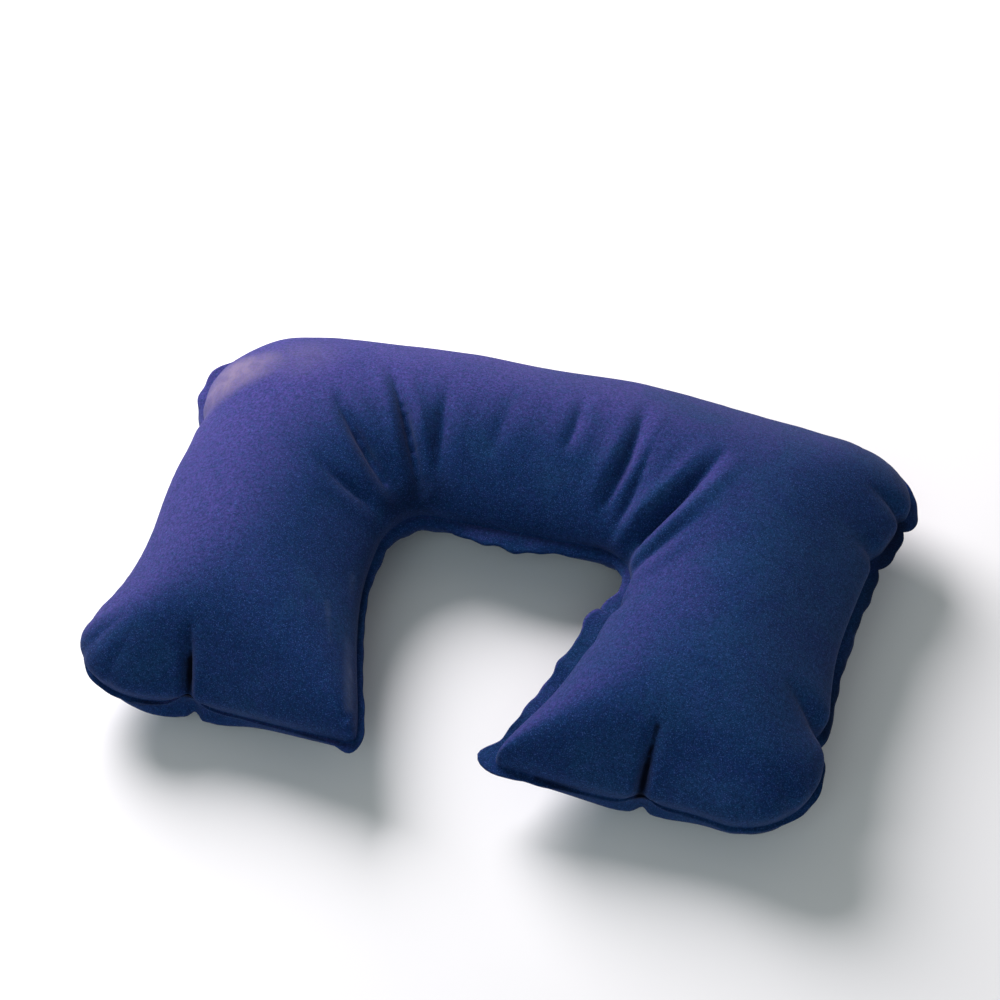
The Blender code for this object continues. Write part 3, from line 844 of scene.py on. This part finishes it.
def turned(profile, sides=72, knurl=None):
    """A closed profile (r, u) carried round the axis: (r cos t, r sin t, u).

    A profile that starts and ends on the axis gets a pole there. knurl is (inner radius, count, depth): points
    further out than the inner radius stand depth * cos(count * t) further from the axis."""
    profile = np.array(profile, float)
    t = np.linspace(0, tau, sides, endpoint=False)[:, None]
    capped = abs(profile[0, 0]) < 1e-9
    body = profile[1:-1] if capped else profile
    r = np.repeat(body[None, :, 0], sides, 0)
    if knurl:
        inner, count, depth = knurl
        r = r + depth * np.cos(count * t) * np.clip((r - inner) / 0.2, 0, 1)
    points = np.stack([r * np.cos(t), r * np.sin(t), np.repeat(body[None, :, 1], sides, 0)], 2).reshape(-1, 3)
    n = len(body)
    i, j = np.meshgrid(np.arange(sides), np.arange(n - 1 if capped else n), indexing="ij")
    i, j = i.ravel(), j.ravel()
    i2, j2 = (i + 1) % sides, (j + 1) % n
    faces = np.stack([i * n + j, i2 * n + j, i2 * n + j2, i * n + j2], 1).tolist()
    if capped:
        k = np.arange(sides)
        first, last = len(points), len(points) + 1
        points = np.concatenate([points, [[0, 0, profile[0, 1]], [0, 0, profile[-1, 1]]]])
        faces += np.stack([(k + 1) % sides * n, k * n, np.full(sides, first)], 1).tolist()
        faces += np.stack([k * n + n - 1, (k + 1) % sides * n + n - 1, np.full(sides, last)], 1).tolist()
    return points, faces


def strip(path, half_width, thick, sides=28):
    """A flat strip along a path (x, u): across it a rounded rectangle |cos a|^0.5, |sin a|^0.5, and at both ends
    half-widths and thickness shrink by sqrt(1 - (1 - q)^2) over one thickness."""
    path = np.array(path, float)
    pace = np.append(0, np.cumsum(np.linalg.norm(np.diff(path, axis=0), axis=1)))
    ends = thick * np.array([0.02, 0.12, 0.3, 0.6, 1.0])
    middle = np.linspace(ends[-1], pace[-1] - ends[-1], max(4, int(pace[-1] / 0.22)))[1:-1]
    stops = np.concatenate([ends, middle, pace[-1] - ends[::-1]])
    x, u = (np.interp(stops, pace, path[:, k]) for k in (0, 1))
    tangent = np.stack([np.gradient(x, stops), np.gradient(u, stops)], 1)
    tangent /= np.linalg.norm(tangent, axis=1)[:, None]
    q = np.clip(np.minimum(stops, pace[-1] - stops) / ends[-1], 0, 1)
    shrink = np.sqrt(1 - (1 - q) ** 2)[:, None]
    a = np.linspace(0, tau, sides, endpoint=False)[None]
    across = np.sign(np.cos(a)) * np.abs(np.cos(a)) ** 0.5 * (half_width - thick * (1 - shrink))
    lift = np.sign(np.sin(a)) * np.abs(np.sin(a)) ** 0.5 * thick / 2 * shrink
    points = np.stack([x[:, None] - tangent[:, 1:] * lift, across, u[:, None] + tangent[:, :1] * lift], 2)
    n, rows = sides, len(stops)
    i, j = (v.ravel() for v in np.meshgrid(np.arange(rows - 1), np.arange(n), indexing="ij"))
    j2 = (j + 1) % n
    faces = np.stack([i * n + j, i * n + j2, (i + 1) * n + j2, (i + 1) * n + j], 1).tolist()
    tips = [[x[0], 0, u[0]], [x[-1], 0, u[-1]]]
    k = np.arange(n)
    first, last = rows * n, rows * n + 1
    faces += np.stack([(k + 1) % n, k, np.full(n, first)], 1).tolist()
    faces += np.stack([k + (rows - 1) * n, (k + 1) % n + (rows - 1) * n, np.full(n, last)], 1).tolist()
    return np.concatenate([points.reshape(-1, 3), tips]), faces


def valve_piece(name, valve, *shells):
    """Joins closed shells, given in millimetres in the valve's frame, into one piece with its faces outwards."""
    place = np.array(land_frame(valve))
    points, faces = [], []
    for shell_points, shell_faces in shells:
        faces += [tuple(v + len(points) for v in face) for face in shell_faces]
        points += (shell_points * MM @ place[:3, :3].T + place[:3, 3]).tolist()
    piece = mesh_object(name, points, faces)
    bm = bmesh.new()
    bm.from_mesh(piece.data)
    bmesh.ops.recalc_face_normals(bm, faces=bm.faces)
    bm.to_mesh(piece.data)
    bm.free()
    piece.data.shade_smooth()
    piece.data.set_sharp_from_angle(angle=radians(50))
    return piece


def weld_ring(valve):
    """The flange: a flat ring with rounded edges and fine concentric ribs on its inner side."""
    inner, outer = valve.hole_radius / MM, valve.ring_radius / MM
    high, low = -1.15, -2.05
    r = np.linspace(inner + 0.35, outer - 0.35, 60)
    ribs = np.column_stack([r, low - 0.10 * np.clip(np.cos(tau * (r - inner) / 1.1), 0, 1)])
    edges = softened([(inner, low), (outer, low), (outer, high), (inner, high)], [0.25] * 4)
    per = len(edges) // 4
    return turned(np.concatenate([edges[:per], ribs, edges[per:]]), 96)


def thin_web(valve):
    """The cone between ring and neck: a wall of even thickness about a line with three soft pleats."""
    t = np.linspace(0, 1, 48)
    low = valve.neck_low / MM + 1.3
    line = np.column_stack([8.28 - 2.58 * t ** 0.9 + 0.16 * np.sin(3 * tau * t) * np.sin(pi * t), -1.3 + (low + 1.3) * t])
    leg = np.gradient(line, axis=0)
    normal = np.stack([-leg[:, 1], leg[:, 0]], 1) / np.linalg.norm(leg, axis=1)[:, None]
    half = 0.28 * np.sqrt(np.clip(1 - (2 * t - 1) ** 24, 0.02, 1))[:, None]
    return turned(np.concatenate([line + normal * half, (line - normal * half)[::-1]]), 80)


def neck_tube(valve):
    """The mouthpiece tube: a rolled lip at its mouth, a collar at its foot and softened edges throughout."""
    bore, out, lip = valve.bore_radius / MM, valve.neck_radius / MM, valve.lip_radius / MM
    low, lip_low, top = valve.neck_low / MM, valve.lip_low / MM, valve.lip_top / MM
    collar = low + 0.8
    corners = [(bore, low), (bore, top), (lip, top), (lip, lip_low), (out, lip_low), (out, collar),
               (out + 1.1, collar), (out + 1.1, low)]
    return turned(softened(corners, [0.3, 0.45, 0.42, 0.42, 0.35, 0.3, 0.3, 0.3]), 96, knurl=(5.75, 32, 0.05))


def stopper_body(valve):
    """The plug and its head. The plug's side is an arc about the hinge, r = sqrt(13.0^2 - (h - u)^2) - d, so that it
    swings clear of the bore; the head is dished, with a knurled rim, and the plug is hollow below."""
    hinge_r, hinge_u = valve.hinge_out / MM, valve.hinge_up / MM
    u = np.linspace(-3.25, 1.35, 14)
    side_line = np.column_stack([np.sqrt(13.0 ** 2 - (hinge_u - u) ** 2) - hinge_r, u])
    hollow = [(0.0, -1.7), (0.5, -1.7), (1.0, -1.8), (1.25, -2.1), (1.35, -3.1), (1.5, -3.35), (1.8, -3.42),
              (2.05, -3.38)]
    under = [(3.05, 1.5), (3.2, 1.62), (3.6, 1.66)]
    rim = rounded(np.array([3.6, 1.66]), np.array([5.55, 1.66]), np.array([5.55, 2.95]), 0.42, 6)
    edge = rounded(np.array([5.55, 1.66]), np.array([5.55, 2.95]), np.array([4.2, 2.95]), 0.42, 6)
    r = np.linspace(4.4, 0.0, 16)
    dish = np.column_stack([r, 2.95 - 0.42 * np.clip(1 - (r / 4.4) ** 2, 0, 1) ** 0.7])
    return turned(np.concatenate([hollow, side_line, under, rim, edge, dish]), 120, knurl=(5.1, 40, 0.07))


def flap_disc(valve):
    """The check flap: a thin disc, gently domed, with a rounded edge."""
    r = np.linspace(0, 4.15, 14)
    upper = np.column_stack([r, -12.86 - 0.05 * (r / 4.15) ** 2])
    lower = np.column_stack([r, -13.22 - 0.05 * (r / 4.15) ** 2])[::-1]
    edge = [(4.27, -12.98), (4.30, -13.09), (4.27, -13.20)]
    return turned(np.concatenate([upper, edge, lower]), 64)


def strap_path(valve):
    """The bent strip from tab to tab: straight, a half turn of radius 0.65 round the hinge side, and straight."""
    middle = valve.hinge_up / MM
    turn = np.linspace(-pi / 2, pi / 2, 24)
    bend = np.column_stack([9.7 + 0.65 * np.cos(turn), middle + 0.65 * np.sin(turn)])
    return np.concatenate([[(7.6, 0.62), (8.6, 0.58)], bend, [(8.6, 1.86), (7.6, 1.95)]])


# ---- materials ---------------------------------------------------------------------------------------------------
class Amount:
    """A number that changes over a surface. Python's operators on it add Math nodes."""

    def __init__(self, finish, socket):
        self.finish = finish
        self.socket = socket

    def maths(self, operation, *values, clamp=False):
        node = self.finish.node("ShaderNodeMath", {"operation": operation, "use_clamp": clamp},
                                dict(enumerate(values)))
        return Amount(self.finish, node.outputs[0])

    def __add__(self, other):
        return self.maths("ADD", self, other)

    def __sub__(self, other):
        return self.maths("SUBTRACT", self, other)

    def __rsub__(self, other):
        return self.maths("SUBTRACT", other, self)

    def __mul__(self, other):
        return self.maths("MULTIPLY", self, other)

    def __truediv__(self, other):
        return self.maths("DIVIDE", self, other)

    def __pow__(self, other):
        return self.maths("POWER", self, other)

    __radd__, __rmul__ = __add__, __mul__

    def clamped(self):
        return self.maths("ADD", self, 0.0, clamp=True)

    def ramp(self, low, high):
        """0 below low, 1 above high, smooth between."""
        node = self.finish.node("ShaderNodeMapRange", {"interpolation_type": "SMOOTHSTEP"},
                                {"Value": self, "From Min": low, "From Max": high})
        return Amount(self.finish, node.outputs[0])


class Finish:
    """One material and its nodes."""

    def __init__(self, name):
        self.material = bpy.data.materials.new(name)
        self.material.use_nodes = True
        self.tree = self.material.node_tree
        self.shader = self.tree.nodes["Principled BSDF"]
        self.place = self.node("ShaderNodeTexCoord").outputs["Object"]

    def node(self, kind, settings=None, inputs=None):
        """Adds a node: its settings first, then a value or a link for each named socket."""
        node = self.tree.nodes.new(kind)
        for name, value in (settings or {}).items():
            setattr(node, name, value)
        for name, value in (inputs or {}).items():
            self.feed(node.inputs[name], value)
        return node

    def feed(self, socket, value):
        value = value.socket if isinstance(value, Amount) else value
        if isinstance(value, bpy.types.NodeSocket):
            self.tree.links.new(value, socket)
        elif isinstance(value, tuple) and len(value) == 3 and socket.type == "RGBA":
            socket.default_value = (*value, 1.0)
        else:
            socket.default_value = value

    def noise(self, scale, detail=2.0, roughness=0.5, distortion=0.0, at=None):
        node = self.node("ShaderNodeTexNoise", None, {
            "Vector": at or self.place, "Scale": scale, "Detail": detail, "Roughness": roughness,
            "Distortion": distortion})
        return Amount(self, node.outputs["Fac"])

    def facing(self, direction):
        """Cosine between the surface's own normal and a direction."""
        normal = self.node("ShaderNodeTexCoord").outputs["Normal"]
        node = self.node("ShaderNodeVectorMath", {"operation": "DOT_PRODUCT"}, {0: normal, 1: direction})
        return Amount(self, node.outputs["Value"])

    def along(self, slope):
        """Dot product of the place on the piece and a slope, in metres."""
        node = self.node("ShaderNodeVectorMath", {"operation": "DOT_PRODUCT"}, {0: self.place, 1: slope})
        return Amount(self, node.outputs["Value"])

    def distance(self, centre):
        node = self.node("ShaderNodeVectorMath", {"operation": "DISTANCE"}, {0: self.place, 1: centre})
        return Amount(self, node.outputs["Value"])

    def off_line(self, start, end):
        """Distance from the straight line between two places."""
        run = Vector(end) - Vector(start)
        offset = self.node("ShaderNodeVectorMath", {"operation": "SUBTRACT"}, {0: self.place, 1: start})
        share = self.node("ShaderNodeVectorMath", {"operation": "DOT_PRODUCT"},
                          {0: offset.outputs["Vector"], 1: tuple(run / run.length_squared)})
        share = Amount(self, share.outputs["Value"]).clamped()
        foot = self.node("ShaderNodeVectorMath", {"operation": "SCALE"}, {0: tuple(run), "Scale": share})
        gap = self.node("ShaderNodeVectorMath", {"operation": "DISTANCE"},
                        {0: offset.outputs["Vector"], 1: foot.outputs["Vector"]})
        return Amount(self, gap.outputs["Value"])

    def mixed(self, factor, first, second):
        node = self.node("ShaderNodeMix", {"data_type": "RGBA"}, {})
        self.feed(node.inputs["Factor"], factor)
        for name, value in (("A", first), ("B", second)):
            socket = next(s for s in node.inputs if s.name == name and s.type == "RGBA")
            self.feed(socket, tuple(value) if not isinstance(value, bpy.types.NodeSocket) else value)
        return next(s for s in node.outputs if s.type == "RGBA")

    def set(self, **values):
        for name, value in values.items():
            self.feed(self.shader.inputs[name.replace("_", " ")], value)

    def bump(self, height, distance, strength=1.0):
        node = self.node("ShaderNodeBump", None, {"Height": height, "Distance": distance, "Strength": strength})
        self.feed(self.shader.inputs["Normal"], node.outputs["Normal"])


def flocked(name, colours):
    """Short flock: painted light, violet on the faces turned to the key light at the top and the left and towards the
    back-left, navy painted shade on the slopes that face away; teal clouds, more of them on the shaded side; soft
    strokes, clumps of fibres, pale spots and ridge lines that are partly worn flock and partly painted highlight,
    bright flecks, painted shade in the creases and along the seam, and a faint sheen."""
    finish = Finish(name)
    patches = finish.noise(14, 4, 0.55, 0.6)
    # Teal clouds: random noise plus a slope towards the front and the right, the side away from the key light.
    cool = finish.noise(24, 5, 0.6, 0.5) + finish.along((0.45, -0.25, 0.0))
    strokes = finish.noise(60, 3, 0.6, 1.2).ramp(0.40, 0.72)
    clumps = finish.noise(620, 3, 0.7)
    tint = finish.noise(430, 3, 0.7)
    fibres = finish.noise(1150, 2, 0.7)
    fleck = finish.noise(1700, 2, 0.6).ramp(0.53, 0.76)
    # Painted light: the flock turns from navy to violet on faces turned to the key light at the upper left and back,
    # and towards the back-left of the pillow, with random patches; faces turned away keep the navy as painted shade.
    painted_light = finish.facing((-0.60, 0.45, 0.66)) + finish.along((-0.8, 1.2, 0.0)) + (patches - 0.5) * 0.45
    painted_light = painted_light.ramp(0.42, 1.15)
    base = finish.mixed(painted_light, colours.deep, colours.lit_violet)
    # Teal clouds, weakened on the lit faces: partly random tone, partly painted shade.
    base = finish.mixed(cool.ramp(0.49, 0.64) * (1 - painted_light * 0.55) * 0.60, base, colours.cool)
    base = finish.mixed(strokes * 0.30, base, colours.mid)
    base = finish.mixed(tint.ramp(0.50, 0.62) * 0.40, base, colours.cool)
    # Random violet tint patches weighted to the lit faces: partly random tone, partly painted light.
    base = finish.mixed((1 - tint.ramp(0.38, 0.50)) * (painted_light * 0.7 + 0.2) * 0.35, base, colours.lit_violet)
    base = finish.mixed((1 - clumps.ramp(0.34, 0.66)) * 0.62, base, tuple(c * 0.45 for c in colours.deep))
    # Pale spots: flock laid flat, placed where the light falls on the back-left corner, so also a painted highlight.
    for x, y, z, reach, amount in WORN_AND_HIGHLIGHT_SPOTS:
        spot = 1 - finish.distance((x * MM, y * MM, z * MM)).ramp(0.2 * reach * MM, reach * MM)
        base = finish.mixed(spot * (strokes * 0.4 + 0.6) * amount, base, colours.worn)
    # Pale lines along the ridge: partly worn flock, partly a painted highlight where the light catches the ridge.
    for start, end, reach, amount in RIDGE_WEAR_AND_HIGHLIGHT:
        gap = finish.off_line(tuple(c * MM for c in start), tuple(c * MM for c in end))
        base = finish.mixed((1 - gap.ramp(0.0, reach * MM)) * (strokes * 0.5 + 0.5) * amount, base, colours.ridge_wear_and_highlight)
    base = finish.mixed(fleck * 0.66, base, colours.fleck)
    # Painted shade: the flock turns near-black along each line, in the creases, the darts, the inner corners and along
    # the seam where the domes overhang.
    for start, end, reach, amount in PAINTED_SHADE_LINES:
        gap = finish.off_line(tuple(c * MM for c in start), tuple(c * MM for c in end))
        base = finish.mixed((1 - gap.ramp(0.2 * reach * MM, reach * MM)) * amount, base,
                            tuple(c * 0.08 for c in colours.deep))
    finish.set(Base_Color=base, Roughness=0.80 + fibres * 0.2, Sheen_Weight=0.09, Sheen_Roughness=0.5,
               Sheen_Tint=(*colours.sheen, 1.0), Specular_IOR_Level=0.05)
    finish.bump(fibres * 0.5 + clumps * 0.35 + strokes * 0.15, 0.00050, 0.9)
    return finish.material


def moulded(name, tone, roughness):
    """Soft moulded vinyl: a faint orange peel, cloudy gloss, and paler scuffs."""
    finish = Finish(name)
    peel = finish.noise(900, 2)
    cloud = finish.noise(120, 3)
    scuff = finish.noise(420, 4, 0.65, 0.8).ramp(0.58, 0.72)
    paler = tuple(min(1.0, c * 1.9 + 0.02) for c in tone)
    finish.set(Base_Color=finish.mixed(scuff * 0.35 + cloud * 0.15, tone, paler),
               Roughness=roughness + cloud * 0.18 + scuff * 0.12, Specular_IOR_Level=0.45)
    finish.bump(peel * 0.7 + scuff * 0.3, 0.00006, 0.6)
    return finish.material


def clear_film(name, tone):
    finish = Finish(name)
    cloud = finish.noise(300, 3)
    finish.set(Base_Color=finish.mixed(cloud, tone, tuple(c * 0.8 for c in tone)), Roughness=0.18 + cloud * 0.2,
               Alpha=0.62)
    finish.bump(cloud, 0.00005, 0.4)
    return finish.material


def matt(name, tone):
    finish = Finish(name)
    grain = finish.noise(6, 3)
    finish.set(Base_Color=finish.mixed(grain * 0.2, tone, tuple(c * 0.985 for c in tone)), Roughness=0.9,
               Specular_IOR_Level=0.1)
    return finish.material


def finished(piece, material, slot, body, *nodes):
    """Gives a piece its material and its body, and hides the CAD nodes that it stands for. The slot argument is not
    used.
    """
    piece.data.materials.clear()
    piece.data.materials.append(material)
    if body:
        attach(piece, body)
    if nodes:
        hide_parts(*nodes)


# ---- operators ---------------------------------------------------------------------------------------------------
class MakePanels(bpy.types.Operator):
    """Blows up the two flocked panels and trims their margins"""
    bl_idname = "pillow.make_panels"
    bl_label = "Panels"

    def execute(self, context):
        scene = context.scene
        shape, blowing, valve = scene.pillow_shape, scene.pillow_blowing, scene.pillow_valve
        blank = Blank(shape)
        share = blowing.start
        top = panel_points(blank, shape, UP, TOP_FOLDS, share)
        base = panel_points(blank, shape, DOWN, BASE_FOLDS, share)
        top, base = blow_up(blank, top, base, blowing)
        material = flocked("flock", scene.pillow_colours)
        for name, dome, up, folds, slot in (("flocked_top_panel", top, UP, TOP_FOLDS, "flocked_film_top"),
                                            ("flocked_base_panel", base, DOWN, BASE_FOLDS, "flocked_film_base")):
            piece = panel(name, blank, dome, shape, up, folds, valve)
            finished(piece, material, slot, "cushion", "upper_panel" if up == UP else "lower_panel")
        return {"FINISHED"}


class MakeValve(bpy.types.Operator):
    """Makes the welded ring, the thin web and the neck of the air valve"""
    bl_idname = "pillow.make_valve"
    bl_label = "Valve"

    def execute(self, context):
        valve, colours = context.scene.pillow_valve, context.scene.pillow_colours
        vinyl = moulded("valve vinyl", colours.vinyl, 0.34)
        soft = moulded("thin vinyl", tuple(c * 1.25 for c in colours.vinyl), 0.42)
        ring = valve_piece("valve_weld_ring", valve, weld_ring(valve))
        finished(ring, vinyl, "valve_vinyl", "cushion", "valve_ring")
        web = valve_piece("valve_thin_web", valve, thin_web(valve))
        finished(web, soft, "valve_vinyl", "cushion", "valve_web")
        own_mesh(web)
        tab = strip([(5.0, 0.65), (8.9, 0.65)], 2.0, 0.5)
        neck = valve_piece("valve_mouth_neck", valve, neck_tube(valve), tab)
        finished(neck, vinyl, "valve_vinyl", "neck", "valve_neck")
        return {"FINISHED"}


class MakeStopper(bpy.types.Operator):
    """Makes the stopper and the strap that holds it"""
    bl_idname = "pillow.make_stopper"
    bl_label = "Stopper"

    def execute(self, context):
        valve, colours = context.scene.pillow_valve, context.scene.pillow_colours
        vinyl = moulded("stopper vinyl", colours.vinyl, 0.30)
        tab = strip([(4.8, 2.0), (8.8, 2.0)], 2.0, 0.6)
        grip = strip([(-4.8, 2.2), (-6.4, 2.25), (-7.4, 2.5), (-8.2, 2.9)], 2.4, 0.6)
        stopper = valve_piece("valve_push_stopper", valve, stopper_body(valve), tab, grip)
        finished(stopper, vinyl, "valve_vinyl", "stopper", "stopper")
        strap = valve_piece("valve_stopper_strap", valve, strip(strap_path(valve), 1.8, 0.5))
        finished(strap, vinyl, "valve_vinyl", None, "stopper_strap")
        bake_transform(strap)
        return {"FINISHED"}


class MakeFlap(bpy.types.Operator):
    """Makes the check flap under the neck"""
    bl_idname = "pillow.make_flap"
    bl_label = "Check flap"

    def execute(self, context):
        valve, colours = context.scene.pillow_valve, context.scene.pillow_colours
        flap = valve_piece("valve_check_flap", valve, flap_disc(valve))
        finished(flap, clear_film("clear film", colours.clear), "flap_film", "flap", "check_flap")
        return {"FINISHED"}


class SetStage(bpy.types.Operator):
    """Lays the pale floor, hangs the soft lights and sets up the camera"""
    bl_idname = "pillow.set_stage"
    bl_label = "Stage"

    def execute(self, context):
        scene = context.scene
        look = scene.pillow_stage
        half = 3.0
        floor = mesh_object("floor", [(-half, -half, 0), (half, -half, 0), (half, half, 0), (-half, half, 0)],
                            [(0, 1, 2, 3)])
        floor.data.materials.append(matt("pale floor", (0.90, 0.90, 0.90)))
        self.camera(scene, look)
        self.lamp(scene, "key", (-0.75, 0.62, 0.85), 0.95, 29.0, (1.0, 0.95, 0.98))
        self.lamp(scene, "fill", (0.1, -1.3, 1.1), 1.4, 6.5, (0.80, 0.98, 1.0))
        world = bpy.data.worlds.new("soft room")
        world.use_nodes = True
        sky = world.node_tree.nodes["Background"]
        sky.inputs["Color"].default_value = (1.0, 1.0, 1.0, 1.0)
        sky.inputs["Strength"].default_value = 0.22
        scene.world = world
        scene.view_settings.view_transform = "Standard"
        return {"FINISHED"}

    @staticmethod
    def camera(scene, look):
        """Camera on a sphere about the aim: its back axis from azimuth and elevation, then rolled about it."""
        a, e, r = look.azimuth, look.elevation, look.roll
        back = Vector((sin(a) * cos(e), -cos(a) * cos(e), sin(e)))
        right = Vector((cos(a), sin(a), 0.0))
        up = back.cross(right)
        axes = Matrix((right * cos(r) + up * sin(r), up * cos(r) - right * sin(r), back)).transposed()
        lens = bpy.data.cameras.new("camera")
        lens.lens = look.focal
        lens.sensor_width = 36.0
        lens.shift_x, lens.shift_y = look.shift_x, look.shift_y
        camera = bpy.data.objects.new("camera", lens)
        camera.matrix_world = Matrix.Translation(Vector(look.aim) + back * look.distance) @ axes.to_4x4()
        scene.collection.objects.link(camera)
        scene.camera = camera

    @staticmethod
    def lamp(scene, name, place, size, power, tint):
        light = bpy.data.lights.new(name, "AREA")
        light.shape = "DISK"
        light.size = size
        light.energy = power
        light.color = tint
        lamp = bpy.data.objects.new(name, light)
        lamp.location = place
        lamp.rotation_euler = (-Vector(place)).to_track_quat("-Z", "Y").to_euler()
        scene.collection.objects.link(lamp)


class PillowMenu(bpy.types.Panel):
    """Lists the steps that make the pillow"""
    bl_idname = "VIEW3D_PT_camp_pillow"
    bl_label = "Camp pillow"
    bl_space_type = "VIEW_3D"
    bl_region_type = "UI"
    bl_category = "Camp pillow"

    def draw(self, context):
        for step in STEPS:
            self.layout.operator(step.bl_idname)
        for name, group in GROUPS.items():
            box = self.layout.box()
            for key in group.__annotations__:
                box.prop(getattr(context.scene, name), key)


STEPS = (MakePanels, MakeValve, MakeStopper, MakeFlap, SetStage)
CLASSES = (*GROUPS.values(), *STEPS, PillowMenu)


def register():
    for item in CLASSES:
        bpy.utils.register_class(item)
    for name, group in GROUPS.items():
        setattr(bpy.types.Scene, name, bpy.props.PointerProperty(type=group))


def unregister():
    for name in GROUPS:
        delattr(bpy.types.Scene, name)
    for item in reversed(CLASSES):
        bpy.utils.unregister_class(item)


def main():
    register()
    for step in STEPS:
        group, name = step.bl_idname.split(".")
        getattr(getattr(bpy.ops, group), name)()


if __name__ == "__main__":
    main()
